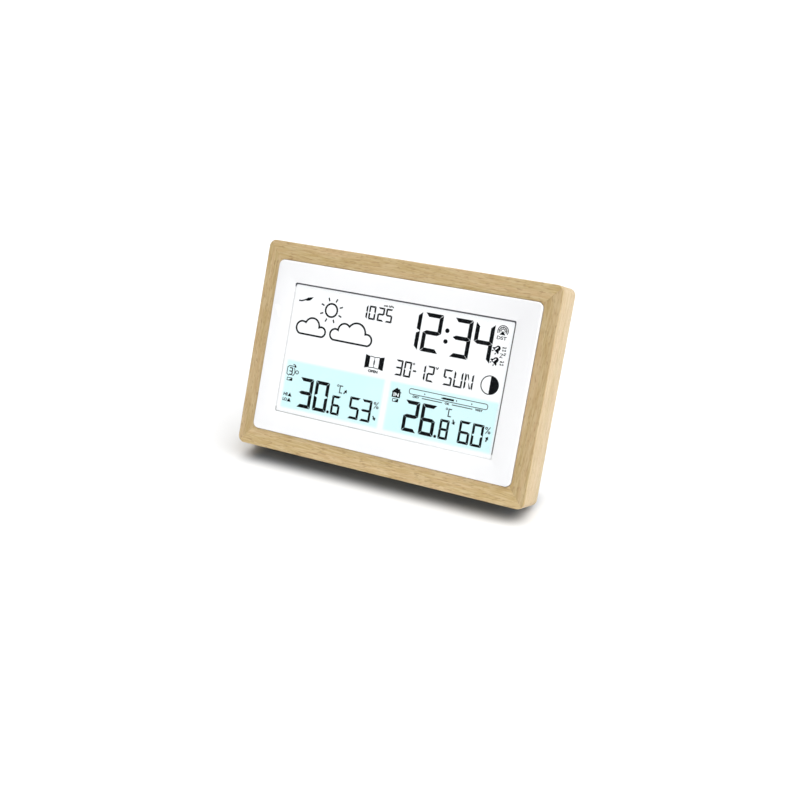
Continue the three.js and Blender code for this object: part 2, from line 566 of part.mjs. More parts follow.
// Three cells, of which the middle one points left
function makeCells() {
  const { r, length, nub, nub_length, chamfer, pitch, y } = CELL;
  const shoulder = length - nub_length;
  const profile = [[0, 0], [r - chamfer, 0], [r, chamfer], [r, shoulder - chamfer], [r - chamfer, shoulder],
    [nub, shoulder], [nub, length], [0, length]];
  const cell = turned(profile);
  // The flat end of a cell that points right
  const start = BAY.x0 + 2 * CONTACT.gap + CONTACT.thick + SPRING.length;
  const end = BAY.x0 + BAY.x1 - start;
  place("battery_upper", cell.rotate([0, 0, -90]), "cell", [start, y, BAY_MID + pitch]);
  place("battery_middle", cell.rotate([0, 0, 90]), "cell", [end, y, BAY_MID]);
  place("battery_lower", cell.rotate([0, 0, -90]), "cell", [start, y, BAY_MID - pitch]);
}

// A spring that narrows towards the cell
class Coil extends THREE.Curve {
  getPoint(t) {
    const radius = SPRING.wide - SPRING.taper * t;
    const turn = 2 * Math.PI * SPRING.turns * t;
    const along = SPRING.wire + (SPRING.length - 2 * SPRING.wire) * t;
    return new THREE.Vector3(along, radius * Math.cos(turn), radius * Math.sin(turn));
  }
}

// Leaves of sheet steel at both ends of the cells: a spring for each flat end, a bump for each nub
function makeContacts() {
  const { thick, half, reach, gap, bump, bump_length } = CONTACT;
  const wire = new THREE.Shape().absarc(0, 0, SPRING.wire, 0, 2 * Math.PI);
  const path = { steps: SPRING.steps, curveSegments: 2, extrudePath: new Coil() };
  const coil = solid(new THREE.ExtrudeGeometry(wire, path));
  const leaf = (dz0, dz1) => block(-thick, 0, -half, half, dz0 - reach, dz1 + reach);
  const bumpAt = (dz) => rodX(bump, 0, dz, -0.1, bump_length, 12);
  const springAt = (dz) => coil.translate([-0.1, 0, dz]);
  const flipped = (made) => made.rotate([0, 0, 180]);
  const { pitch, y } = CELL;
  const [left, right] = [BAY.x0 + gap + thick, BAY.x1 - gap - thick];
  const linkLeft = joined([leaf(0, pitch), bumpAt(0), springAt(pitch)]);
  const linkRight = joined([leaf(-pitch, 0), bumpAt(-pitch), springAt(0)]);
  place("contact_negative", leaf(0, 0).add(springAt(0)), "steel", [left, y, BAY_MID - pitch]);
  place("contact_link_left", linkLeft, "steel", [left, y, BAY_MID]);
  place("contact_positive", flipped(leaf(0, 0).add(bumpAt(0))), "steel", [right, y, BAY_MID + pitch]);
  place("contact_link_right", flipped(linkRight), "steel", [right, y, BAY_MID]);
}

// The stand opens until its foot meets the table, `spread` behind the frame's rear edge. In the frame of
// its hinge it hangs down -Z, with +Y away from the housing.
function makeStand() {
  const footY = DEPTH + STAND.spread * Math.cos(LEAN);
  const footZ = tableZ(footY);
  const open = Math.atan2(footY - HINGE.y, HINGE.z - footZ);
  const length = Math.hypot(footY - HINGE.y, HINGE.z - footZ);
  const hinge = new THREE.Group();
  hinge.position.set(0, HINGE.y, HINGE.z);
  hinge.rotation.x = open;
  housing.add(hinge);

  const { front, back, heel, heel_y } = STAND;
  const half = STAND.w / 2;
  const end = -length + PAD_T;
  const leg = joined([
    across([[front, heel], [front, end], [back, end], [back, 0], [heel_y, heel]], -half, half),
    rodX(HINGE.knuckle, 0, 0, -half, half),
  ]);
  const { half: gripHalf, deep: gripDeep, low: gripLow, high: gripHigh } = STAND_GRIP;
  const { inset, deep, low, top } = STAND_PANEL;
  const cuts = [
    block(-gripHalf, gripHalf, back - gripDeep, back + PAST, end + gripLow, end + gripHigh),
    block(-half + inset, half - inset, front - PAST, front + deep, end + low, top),
    rodX(HINGE.r + HINGE.play, 0, 0, -half - PAST, half + PAST, 16),
  ];
  place("stand", without(leg, cuts), "cover", [0, 0, 0], hinge);

  const tableAt = (y) => -length + y * Math.tan(LEAN - open);
  const padTop = end - FIT;
  const pad = [[front, padTop], [front, tableAt(front)], [back, tableAt(back)], [back, padTop]];
  place("stand_foot_pad", across(pad, -half, half), "rubber", [0, 0, 0], hinge);
  place("stand_hinge_pin", rodX(HINGE.r, HINGE.y, HINGE.z, -HINGE.reach, HINGE.reach, 16), "steel");
}

function makeFeet() {
  const { x, half, near, far } = FOOT;
  const profile = [[near, -FIT], [near, tableZ(near)], [far, tableZ(far)], [far, -FIT]];
  place("foot_left", across(profile, -half, half), "rubber", [-x, 0, 0]);
  place("foot_right", across(profile, -half, half), "rubber", [x, 0, 0]);
}

function makeScrews() {
  const { head, high, shank, length, chamfer } = SCREW;
  const profile = [[0, -length], [shank, -length], [shank, 0], [head, 0], [head, high - chamfer],
    [head - chamfer, high], [0, high]];
  POSTS.forEach(([x, z], i) =>
    place("cover_screw_" + (i + 1), turned(profile, 16), "steel", [x, POST.seat + FIT, z]));
}

makeFrame();
makeFascia();
makeDisplay();
makeCarrier();
makeMainBoard();
makeReceiver();
makeTimeAerial();
makeKeyBoard();
makeSwitches();
makeRearParts();
makeRearCover();
makeDoor();
makeCells();
makeContacts();
makeKeys();
makeStand();
makeFeet();
makeScrews();

// Centre the whole station over the origin, front to back.
const extent = new THREE.Box3().setFromObject(station, true);
housing.position.y = -(extent.min.y + extent.max.y) / 2;

export default station;
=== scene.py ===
import json
import math

import bmesh
import bpy
from mathutils import Matrix, Vector
from mathutils.geometry import tessellate_polygon

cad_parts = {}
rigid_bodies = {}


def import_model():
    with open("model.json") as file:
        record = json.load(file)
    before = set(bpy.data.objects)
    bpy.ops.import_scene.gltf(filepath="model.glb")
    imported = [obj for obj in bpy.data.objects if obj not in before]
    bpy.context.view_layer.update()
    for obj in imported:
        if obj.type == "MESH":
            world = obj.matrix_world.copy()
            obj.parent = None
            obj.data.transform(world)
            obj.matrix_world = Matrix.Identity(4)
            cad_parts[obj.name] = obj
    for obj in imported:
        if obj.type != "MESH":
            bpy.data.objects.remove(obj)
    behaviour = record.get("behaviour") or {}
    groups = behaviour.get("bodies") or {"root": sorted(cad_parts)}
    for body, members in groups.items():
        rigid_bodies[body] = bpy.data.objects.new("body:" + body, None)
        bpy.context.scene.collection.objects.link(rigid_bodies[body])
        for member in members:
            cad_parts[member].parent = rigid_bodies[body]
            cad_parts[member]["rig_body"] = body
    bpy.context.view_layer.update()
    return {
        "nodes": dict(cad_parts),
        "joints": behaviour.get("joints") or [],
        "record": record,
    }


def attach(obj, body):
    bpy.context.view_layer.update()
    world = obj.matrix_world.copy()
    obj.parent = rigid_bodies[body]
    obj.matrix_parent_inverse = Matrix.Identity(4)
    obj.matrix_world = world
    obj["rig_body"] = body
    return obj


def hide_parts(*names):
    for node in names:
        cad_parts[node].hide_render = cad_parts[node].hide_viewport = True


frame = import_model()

# The look of the home weather station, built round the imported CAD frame.
# Shapes are drawn in the housing's own frame, in millimetres: x to the right of someone reading the
# display, y into the housing, z up along the display. HOUSE takes that frame, in metres, to the table's.

MM = 0.001
BODY = "housing"


# ---------------------------------------------------------------- the housing's frame, from the CAD

def joint(name):
    return next(j for j in frame["joints"] if j["name"] == name)


KEY_AXIS = Vector(joint("set_button_press")["axis"])  # the keys travel straight into the housing
LEAN = math.atan2(KEY_AXIS.z, -KEY_AXIS.y)
TURN = Matrix.Rotation(-LEAN, 4, "X")


def corners(nodes, turn):
    """Lowest and highest corner of some CAD nodes, in metres, after a turn."""
    points = [turn @ v.co for n in nodes for v in frame["nodes"][n].data.vertices]
    low = Vector([min(p[i] for p in points) for i in range(3)])
    high = Vector([max(p[i] for p in points) for i in range(3)])
    return low, high


BARS = ["frame_top_bar", "frame_bottom_bar", "frame_left_bar", "frame_right_bar"]
_low, _high = corners(BARS, TURN.inverted())
HOUSE = TURN @ Matrix.Translation((0, _low.y, _low.z))
INTO_HOUSE = HOUSE.inverted()
WIDTH, DEPTH, HEIGHT = [size / MM for size in (_high - _low)]
MID = HEIGHT / 2


def local_box(node):
    """Lowest and highest corner of a CAD node in the housing's frame, in millimetres."""
    low, high = corners([node], INTO_HOUSE)
    return low / MM, high / MM


def size_of(node):
    low, high = local_box(node)
    return high - low


def middle_of(node):
    """Middle of a CAD node seen from the front, as x and z in the housing's frame"""
    low, high = local_box(node)
    return (low.x + high.x) / 2, (low.z + high.z) / 2


FASCIA_LOW, FASCIA_HIGH = local_box("front_fascia")
CARRIER_LOW, CARRIER_HIGH = local_box("lcd_carrier")
COVER_HIGH = local_box("rear_cover")[1]
LENS_HIGH = local_box("window_lens")[1]
GLASS_LOW = local_box("lcd_front_glass")[0]
INK_FRONT = LENS_HIGH.y + 0.08  # the segments fill the gap between the window and the glass
INK_BACK = GLASS_LOW.y - 0.04


# ---------------------------------------------------------------- materials

def linear(red, green, blue):
    """A screen colour of 0 to 255 per channel as the shader's own numbers."""
    def channel(value):
        share = value / 255
        return share / 12.92 if share <= 0.04045 else ((share + 0.055) / 1.055) ** 2.4
    return (channel(red), channel(green), channel(blue), 1.0)


def put(socket, value):
    if isinstance(value, bpy.types.NodeSocket):
        socket.id_data.links.new(value, socket)
    else:
        socket.default_value = value


def add(tree, kind, settings=None, **inputs):
    """Adds a shader node; an input given as a socket is linked, and as a number or colour is set."""
    made = tree.nodes.new("ShaderNode" + kind)
    for name, value in (settings or {}).items():
        setattr(made, name, value)
    for name, value in inputs.items():
        put(made.inputs[name.replace("_", " ")], value)
    return made


def maths(tree, operation, a, b=0.0):
    made = tree.nodes.new("ShaderNodeMath")
    made.operation = operation
    put(made.inputs[0], a)
    put(made.inputs[1], b)
    return made.outputs[0]


def blend_colours(tree, factor, first, second):
    made = tree.nodes.new("ShaderNodeMix")
    made.data_type = "RGBA"
    put(made.inputs[0], factor)
    put(made.inputs[6], first)
    put(made.inputs[7], second)
    return made.outputs[2]


def ramp(tree, value, low, high, out_low=0.0, out_high=1.0):
    made = add(tree, "MapRange", {"interpolation_type": "SMOOTHSTEP"}, Value=value,
               From_Min=low, From_Max=high, To_Min=out_low, To_Max=out_high)
    return made.outputs[0]


def between(tree, value, low, high, soft):
    """1 between two values and 0 outside them, with soft edges"""
    rise = ramp(tree, value, low - soft, low + soft)
    fall = ramp(tree, value, high - soft, high + soft, 1.0, 0.0)
    return maths(tree, "MULTIPLY", rise, fall)


def new_material(name, **inputs):
    """A material with one Principled shader, whose sockets are given by name."""
    made = bpy.data.materials.new(name)
    made.use_nodes = True
    shader = made.node_tree.nodes["Principled BSDF"]
    for key, value in inputs.items():
        shader.inputs[key.replace("_", " ")].default_value = value
    return made, made.node_tree, shader


def object_place(tree, scale=(1, 1, 1), turn=(0, 0, 0), shift=(0, 0, 0)):
    """Object coordinates in millimetres, scaled, turned and shifted."""
    coordinates = add(tree, "TexCoord")
    in_mm = add(tree, "Mapping", Vector=coordinates.outputs["Object"], Scale=(1 / MM,) * 3)
    placed = add(tree, "Mapping", Vector=in_mm.outputs[0], Scale=scale, Rotation=turn, Location=shift)
    return placed.outputs[0]


def noise(tree, place, scale, detail=2.0, rough=0.5, distortion=0.0):
    made = add(tree, "TexNoise", Vector=place, Scale=scale, Detail=detail, Roughness=rough,
               Distortion=distortion)
    return made.outputs[0]


def bump(tree, shader, height, distance, strength=1.0):
    """Bump of a given depth in millimetres"""
    made = add(tree, "Bump", Height=height, Distance=distance * MM, Strength=strength)
    put(shader.inputs["Normal"], made.outputs[0])


def plastic(name, colour, roughness, grain=0.0, grain_size=0.6, shade=0.04, **inputs):
    """Moulded plastic: a slight unevenness of colour and gloss, and a fine spark-eroded grain."""
    made, tree, shader = new_material(name, **inputs)
    place = object_place(tree)
    cloud = noise(tree, place, 0.04, 3.0)
    dark = tuple(c * (1 - shade) for c in colour[:3]) + (1.0,)
    put(shader.inputs["Base Color"], blend_colours(tree, cloud, dark, colour))
    fine = noise(tree, place, 1 / grain_size, 2.0)
    uneven = maths(tree, "MULTIPLY_ADD", cloud, 0.08)
    uneven.node.inputs[2].default_value = roughness - 0.04
    put(shader.inputs["Roughness"], uneven)
    if grain:
        bump(tree, shader, fine, grain)
    return made


def metal(name, colour, roughness, brushed=(1, 1, 1)):
    """Plated or drawn metal, with fine marks stretched by `brushed`"""
    made, tree, shader = new_material(name, Metallic=1.0)
    marks = noise(tree, object_place(tree, scale=brushed), 3.0, 4.0, 0.6)
    dark = tuple(c * 0.82 for c in colour[:3]) + (1.0,)
    put(shader.inputs["Base Color"], blend_colours(tree, marks, dark, colour))
    put(shader.inputs["Roughness"], ramp(tree, marks, 0.2, 0.8, roughness - 0.08, roughness + 0.1))
    bump(tree, shader, marks, 0.01)
    return made


def beech(name, upright, seed, painted_shade):
    """Steamed beech: straight grain along the bar, soft growth bands and short dark ray flecks."""
    made, tree, shader = new_material(name, Specular_IOR_Level=0.45, Coat_Weight=0.25, Coat_Roughness=0.3)
    turn = (0, math.radians(90), 0) if upright else (0, 0, 0)
    shift = (seed * 37.0, seed * 11.0, seed * 5.0)

    def stretched(along, across, detail=2.0, rough=0.5, slant=0.0):
        place = object_place(tree, turn=turn, shift=shift)
        slanted = add(tree, "Mapping", Vector=place, Rotation=(0, math.radians(slant), 0))
        long = add(tree, "Mapping", Vector=slanted.outputs[0], Scale=(1 / along, 1 / across, 1 / across))
        return noise(tree, long.outputs[0], 1.0, detail, rough)

    # Each colour is darkened by the bar's painted shade
    def toned(red, green, blue):
        return tuple(c * painted_shade for c in linear(red, green, blue)[:3]) + (1.0,)

    bands = ramp(tree, stretched(60.0, 4.0, 2.0, 0.5, 1.5), 0.35, 0.65)
    streaks = ramp(tree, stretched(14.0, 1.1, 2.0, 0.6, -2.0), 0.4, 0.62)
    fibres = stretched(7.0, 0.3, 3.0, 0.6)
    flecks = ramp(tree, stretched(3.6, 0.62, 1.0, 0.4, 5.0), 0.58, 0.7)
    ground = blend_colours(tree, bands, toned(194, 166, 112), toned(209, 178, 133))
    grained = blend_colours(tree, maths(tree, "MULTIPLY", streaks, 0.65), ground, toned(219, 198, 154))
    fibred = blend_colours(tree, ramp(tree, fibres, 0.4, 0.75, 0.0, 0.3), grained, toned(170, 137, 88))
    marked = blend_colours(tree, maths(tree, "MULTIPLY", flecks, 0.45), fibred, toned(150, 112, 66))
    put(shader.inputs["Base Color"], marked)
    put(shader.inputs["Roughness"], ramp(tree, fibres, 0.2, 0.8, 0.4, 0.55))
    height = maths(tree, "SUBTRACT", maths(tree, "MULTIPLY", fibres, 0.5), flecks)
    bump(tree, shader, height, 0.03)
    return made


PANELS_X = ((-73.0, -2.5), (1.5, 73.5))
PANELS_Z = (28.5, 59.5)


def display_material():
    """The lit display: near white, with a soft-edged pale cyan panel under each set of readings"""
    made, tree, shader = new_material("display_light", Roughness=0.35, Specular_IOR_Level=0.2)
    split = add(tree, "SeparateXYZ", Vector=object_place(tree))
    x, z = split.outputs[0], split.outputs[2]

    wide = [between(tree, x, low, high, 1.3) for low, high in PANELS_X]
    tall = between(tree, z, *PANELS_Z, 1.3)
    panel = maths(tree, "MULTIPLY", maths(tree, "ADD", *wide), tall)
    uneven = ramp(tree, noise(tree, object_place(tree), 0.03, 1.0), 0.3, 0.7, 0.9, 1.0)
    white, cyan = linear(252, 254, 255), linear(211, 247, 250)
    colour = blend_colours(tree, maths(tree, "MULTIPLY", panel, uneven), white, cyan)
    put(shader.inputs["Base Color"], blend_colours(tree, 0.65, colour, (0, 0, 0, 1)))
    put(shader.inputs["Emission Color"], colour)
    shader.inputs["Emission Strength"].default_value = 0.8
    return made


def gasket_material():
    """Sealing strip, its tone painted light and shade: dark along the top and the right, and paler along the
    left and the foot
    """
    made, tree, shader = new_material("gasket_foam", Roughness=0.85)
    split = add(tree, "SeparateXYZ", Vector=object_place(tree))
    x, z = split.outputs[0], split.outputs[2]
    sides = ramp(tree, x, -70.0, 70.0, 0.7, 0.14)
    below = blend_colours(tree, ramp(tree, z, 28.0, 29.0), ramp(tree, x, -70.0, 70.0, 0.45, 0.8), sides)
    # painted shadow along the top, where the window's lip shades the strip
    colour = blend_colours(tree, ramp(tree, z, MID + 39, MID + 40.5), below, (0.09, 0.09, 0.1, 1))
    put(shader.inputs["Base Color"], colour)
    bump(tree, shader, noise(tree, object_place(tree), 5.0, 2.0), 0.03)
    return made


def fascia_material():
    """White satin moulding with painted shade: a trace greyer away from a point left of and below its middle
    """
    made, tree, shader = new_material("fascia_white", Coat_Weight=0.25, Coat_Roughness=0.06)
    split = add(tree, "SeparateXYZ", Vector=object_place(tree, shift=(8.0, 0.0, 16.0 - MID)))
    far = maths(tree, "SQRT", maths(tree, "ADD", maths(tree, "POWER", split.outputs[0], 2.0),
                                    maths(tree, "POWER", split.outputs[2], 2.0)))
    # the grey is painted shade towards the corners
    white, grey = (0.93, 0.925, 0.925, 1), (0.84, 0.835, 0.84, 1)
    put(shader.inputs["Base Color"], blend_colours(tree, ramp(tree, far, 70.0, 128.0), white, grey))
    cloud = noise(tree, object_place(tree), 0.05, 2.0)
    put(shader.inputs["Roughness"], ramp(tree, cloud, 0.2, 0.8, 0.2, 0.28))
    return made


def clear_material(name, tint, alpha, roughness):
    made, tree, shader = new_material(name, Alpha=alpha, IOR=1.46)
    smear = noise(tree, object_place(tree), 0.05, 3.0)
    pale = tuple(min(c * 1.3, 1.0) for c in tint)
    put(shader.inputs["Roughness"], ramp(tree, smear, 0.2, 0.8, roughness, roughness + 0.03))
    put(shader.inputs["Base Color"], blend_colours(tree, smear, tint, pale))
    return made


def board_material():
    """Green solder mask with faint copper tracks under it"""
    made, tree, shader = new_material("circuit_board", Coat_Weight=0.3, Coat_Roughness=0.2)
    place = object_place(tree)
    wave = add(tree, "TexWave", {"wave_type": "BANDS", "bands_direction": "Z", "wave_profile": "SAW"},
               Vector=place, Scale=0.25, Distortion=6.0, Detail=1.0)
    track = ramp(tree, wave.outputs[1], 0.55, 0.6)
    colour = blend_colours(tree, track, linear(24, 92, 52), linear(42, 128, 74))
    put(shader.inputs["Base Color"], colour)
    shader.inputs["Roughness"].default_value = 0.4
    bump(tree, shader, track, 0.03)
    return made


def sleeve_material():
    """A dry cell's printed sleeve: dark, with a copper-coloured band at the positive end"""
    made, tree, shader = new_material("cell_sleeve", Metallic=0.35, Coat_Weight=0.5, Coat_Roughness=0.1)
    split = add(tree, "SeparateXYZ", Vector=add(tree, "TexCoord").outputs["Generated"])
    along = split.outputs[1]
    band = ramp(tree, along, 0.70, 0.705)
    line = between(tree, along, 0.662, 0.678, 0.0025)
    base = blend_colours(tree, band, linear(38, 46, 54), linear(190, 122, 66))
    put(shader.inputs["Base Color"], blend_colours(tree, line, base, linear(225, 226, 228)))
    scuff = noise(tree, object_place(tree), 0.4, 3.0)
    put(shader.inputs["Roughness"], ramp(tree, scuff, 0.3, 0.8, 0.25, 0.4))
    return made


# The last number scales each bar's colour as painted shade, different for each bar as the light falls on it
WOOD = {
    "frame_top_bar": beech("beech_top", False, 1, 0.88),
    "frame_bottom_bar": beech("beech_bottom", False, 2, 0.97),
    "frame_left_bar": beech("beech_left", True, 3, 0.865),
    "frame_right_bar": beech("beech_right", True, 4, 0.815),
}
FASCIA_WHITE = fascia_material()
COVER_WHITE = plastic("cover_white", linear(232, 232, 230), 0.5, 0.03, 0.35, 0.03)
KEY_GREY = plastic("key_grey", linear(168, 172, 176), 0.42, 0.015, 0.3)
MARK_GREY = plastic("mark_grey", linear(120, 123, 128), 0.5, 0.01, 0.3)
INNER_WHITE = plastic("inner_white", linear(236, 236, 236), 0.6, 0.01)
BLACK = plastic("black_plastic", linear(34, 34, 37), 0.45, 0.02, 0.4, 0.15)
FOAM = gasket_material()
RUBBER = plastic("rubber", linear(46, 46, 49), 0.8, 0.03, 0.3, 0.12)
INK = plastic("segment_ink", linear(12, 12, 14), 0.5, 0.0, 0.5, 0.3, Specular_IOR_Level=0.05)
FINE_INK = plastic("fine_ink", linear(28, 30, 33), 0.5, 0.0, 0.5, 0.2, Specular_IOR_Level=0.05)
PAPER = plastic("icon_white", linear(240, 248, 250), 0.5, 0.0, 0.5, 0.02)
DISPLAY = display_material()
LENS = clear_material("window_lens_clear", linear(60, 66, 70), 0.04, 0.03)
GUIDE = clear_material("guide_clear", linear(240, 248, 250), 0.3, 0.1)
STEEL = metal("plated_steel", linear(200, 201, 204), 0.3, (1, 1, 6))
COPPER = metal("enamelled_copper", linear(196, 118, 66), 0.35, (8, 1, 1))
BOARD = board_material()
SLEEVE = sleeve_material()

SLOT_MATERIALS = {
    "white_gloss": FASCIA_WHITE,
    "clear_lens": GUIDE,
    "display": DISPLAY,
    "grey_foam": FOAM,
    "cover_white": COVER_WHITE,
    "key_grey": KEY_GREY,
    "inner_white": INNER_WHITE,
    "board_green": BOARD,
    "black_plastic": BLACK,
    "steel": STEEL,
    "copper": COPPER,
    "rubber": RUBBER,
    "cell_wrap": SLEEVE,
}


# ---------------------------------------------------------------- meshes

def finish_piece(made, material, body=BODY, replaces=(), smooth_angle=35, place=HOUSE):
    made.data.materials.clear()
    made.data.materials.append(material)
    made.data.polygons.foreach_set("use_smooth", [True] * len(made.data.polygons))
    made.data.set_sharp_from_angle(angle=math.radians(smooth_angle))
    made.matrix_world = place
    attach(made, body)
    for node in replaces:
        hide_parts(node)
    return made


def link_mesh(name, mesh_work):
    """A new object from a bmesh in millimetres, with its faces turned outward"""
    bmesh.ops.recalc_face_normals(mesh_work, faces=mesh_work.faces)
    bmesh.ops.scale(mesh_work, vec=(MM, MM, MM), verts=mesh_work.verts)
    mesh = bpy.data.meshes.new(name)
    mesh_work.to_mesh(mesh)
    mesh_work.free()
    made = bpy.data.objects.new(name, mesh)
    bpy.context.scene.collection.objects.link(made)
    return made


def rounded_loop(w, h, r, y, x=0.0, z=None, steps=8):
    """Points of a rounded rectangle at depth y, anticlockwise for someone reading the display"""
    z = MID if z is None else z
    points = []
    for quarter, (sx, sz) in enumerate([(1, 1), (-1, 1), (-1, -1), (1, -1)]):
        for i in range(steps + 1):
            angle = math.pi / 2 * (quarter + i / steps)
            px = x + sx * (w / 2 - r) + r * math.cos(angle)
            pz = z + sz * (h / 2 - r) + r * math.sin(angle)
            points.append((px, y, pz))
    return points


def loft(work, loops, closed=False):
    """Skins a run of loops: into a ring when closed, else into a solid with flat ends."""
    rows = [[work.verts.new(p) for p in loop] for loop in loops]
    count = len(rows[0])
    pairs = list(zip(rows, rows[1:] + rows[:1])) if closed else list(zip(rows, rows[1:]))
    for low, high in pairs:
        for i in range(count):
            j = (i + 1) % count
            work.faces.new((low[i], low[j], high[j], high[i]))
    if not closed:
        work.faces.new(rows[0])
        work.faces.new(list(reversed(rows[-1])))


def edge_round(w, h, r, y_from, y_to, radius, steps=4, **place):
    """Loops that round over an edge, from the side at y_from to the face at y_to"""
    side = 1 if y_to > y_from else -1
    loops = []
    for i in range(steps + 1):
        angle = math.pi / 2 * i / steps
        inset = radius * (1 - math.cos(angle))
        y = y_to - side * radius * (1 - math.sin(angle))
        loops.append(rounded_loop(w - 2 * inset, h - 2 * inset, max(r - inset, 0.05), y, **place))
    return loops


def lathe_loops(profile, sides=32, x=0.0, z=0.0):
    """Loops round the depth axis for [radius, y] points"""
    return [
        [(x + radius * math.cos(2 * math.pi * i / sides), y, z + radius * math.sin(2 * math.pi * i / sides))
         for i in range(sides)]
        for radius, y in profile
    ]


def refined(node, material, bevel=0.2, smooth_angle=35, place=HOUSE):
    """A CAD solid with its facets merged and its edges rounded, which stands for the CAD node."""
    mesh = frame["nodes"][node].data.copy()
    mesh.transform(place.inverted())
    made = bpy.data.objects.new(node + "_moulding", mesh)
    bpy.context.scene.collection.objects.link(made)
    work = bmesh.new()
    work.from_mesh(mesh)
    bmesh.ops.remove_doubles(work, verts=work.verts, dist=0.002 * MM)
    bmesh.ops.dissolve_limit(work, angle_limit=math.radians(1.0), verts=work.verts, edges=work.edges)
    work.to_mesh(mesh)
    work.free()
    if bevel:
        rounding = made.modifiers.new("rounding", "BEVEL")
        rounding.width = bevel * MM
        rounding.segments = 2
        rounding.limit_method = "ANGLE"
        rounding.angle_limit = math.radians(smooth_angle)
        rounding.harden_normals = True
        rounding.use_clamp_overlap = True
    body = frame["nodes"][node]["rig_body"]
    return finish_piece(made, material, body, [node], smooth_angle, place)


def slot_of(node):
    return next(s["material_slot"] for s in frame["record"]["subparts"] if s["node"] == node)


# ---------------------------------------------------------------- wooden frame

CORNER_R = 4.5
ARRIS = 0.55
LEDGE = 3.2
SEAT_Y = 1.6
FASCIA_GAP = 0.25
MITRE_GAP = 0.06
OPENING_R, REAR_R = 4.05, 3.0
OPENING_CHAMFER = 0.25


def frame_ring():
    """The whole frame as one ring, before it is cut at the mitres"""
    fascia = FASCIA_HIGH - FASCIA_LOW
    opening = (fascia.x + 2 * FASCIA_GAP, fascia.z + 2 * FASCIA_GAP, OPENING_R)
    rear = (opening[0] - 2 * LEDGE, opening[1] - 2 * LEDGE, REAR_R)
    mouth = (opening[0] + 2 * OPENING_CHAMFER, opening[1] + 2 * OPENING_CHAMFER, OPENING_R + OPENING_CHAMFER)
    loops = edge_round(WIDTH, HEIGHT, CORNER_R, DEPTH / 2, 0.0, ARRIS, 5)
    loops += [rounded_loop(*mouth, 0.0), rounded_loop(*opening, OPENING_CHAMFER)]
    loops += [rounded_loop(*opening, SEAT_Y)]
    loops += [rounded_loop(*rear, SEAT_Y), rounded_loop(*rear, DEPTH)]
    loops += reversed(edge_round(WIDTH, HEIGHT, CORNER_R, DEPTH / 2, DEPTH, ARRIS, 5))
    work = bmesh.new()
    loft(work, loops, closed=True)
    return work


def cut(work, point, normal):
    """Cuts away what lies beyond a plane and closes the cut."""
    everything = work.verts[:] + work.edges[:] + work.faces[:]
    made = bmesh.ops.bisect_plane(work, geom=everything, dist=1e-4, plane_co=point, plane_no=normal,
                                  clear_outer=True)
    edges = [g for g in made["geom_cut"] if isinstance(g, bmesh.types.BMEdge)]
    bmesh.ops.edgenet_fill(work, edges=edges)


def build_frame():
    fascia = FASCIA_HIGH - FASCIA_LOW
    bar = Vector(((WIDTH - fascia.x) / 2 - FASCIA_GAP, 0, (HEIGHT - fascia.z) / 2 - FASCIA_GAP))
    steep = Vector((bar.z, 0, bar.x)).normalized()  # across a mitre line
    for name, material in WOOD.items():
        work = frame_ring()
        flat = name in ("frame_top_bar", "frame_bottom_bar")
        way = 1 if name in ("frame_top_bar", "frame_right_bar") else -1
        cut(work, (0, 0, MID), (0, 0, -way) if flat else (-way, 0, 0))
        for side in (-1, 1):
            x, z = (side, way) if flat else (way, side)
            outward = Vector((x * steep.x, 0, -z * steep.z))
            normal = outward if flat else -outward
            corner = Vector((x * WIDTH / 2, 0, MID + z * HEIGHT / 2)) - normal * MITRE_GAP / 2
            cut(work, corner, normal)
        made = link_mesh(name.replace("frame_", "beech_"), work)
        finish_piece(made, material, BODY, [name], 30)


# ---------------------------------------------------------------- fascia and gasket

FASCIA_R = 3.8
FASCIA_EDGE = 0.85  # rounding of its front edge
WINDOW = (151.2, 83.8, 1.2)
WINDOW_Z = MID + 0.2
WINDOW_EDGE = 0.3  # rounding of the opening's front edge
WINDOW_EDGE_STEPS = 3
GASKET_HOLE = (149.4, 82.3, 0.9)
LIP_BACK = -0.9
GASKET_FIT, CARRIER_FIT = 0.6, 0.8
POST_R, POST_BORE = 2.9, 1.45
COVER_SCREWS = [f"cover_screw_{i}" for i in range(1, 5)]


def build_fascia():
    size = FASCIA_HIGH - FASCIA_LOW
    outline = (size.x, size.z, FASCIA_R)
    front, back = FASCIA_LOW.y, SEAT_Y - 0.2
    gasket = size_of("window_gasket")
    seat = (gasket.x + GASKET_FIT, gasket.z + GASKET_FIT, 1.5)
    carrier = CARRIER_HIGH - CARRIER_LOW
    pocket = (carrier.x + CARRIER_FIT, carrier.z + CARRIER_FIT, 0.4)
    pocket_z = (CARRIER_LOW.z + CARRIER_HIGH.z) / 2
    pocket_y = CARRIER_LOW.y - 0.15
    loops = [rounded_loop(*outline, back)]
    loops += edge_round(*outline, back, front, FASCIA_EDGE, 6)
    window_w, window_h, window_r = WINDOW
    for i in range(WINDOW_EDGE_STEPS + 1):
        angle = math.pi / 2 * i / WINDOW_EDGE_STEPS
        out = WINDOW_EDGE * (1 - math.sin(angle))
        depth = front + WINDOW_EDGE * (1 - math.cos(angle))
        grown = (window_w + 2 * out, window_h + 2 * out, window_r + out)
        loops.append(rounded_loop(*grown, depth, z=WINDOW_Z))
    loops += [rounded_loop(*WINDOW, LIP_BACK, z=WINDOW_Z), rounded_loop(*seat, LIP_BACK)]
    loops += [rounded_loop(*seat, pocket_y), rounded_loop(*pocket, pocket_y, z=pocket_z)]
    loops += [rounded_loop(*pocket, back, z=pocket_z)]
    work = bmesh.new()
    loft(work, loops, closed=True)
    post = [(POST_R, back), (POST_R, FASCIA_HIGH.y), (POST_BORE, FASCIA_HIGH.y), (POST_BORE, back)]
    for name in COVER_SCREWS:
        loft(work, lathe_loops(post, 24, *middle_of(name)), closed=True)
    made = link_mesh("fascia_moulding", work)
    finish_piece(made, FASCIA_WHITE, BODY, ["front_fascia"], 40)


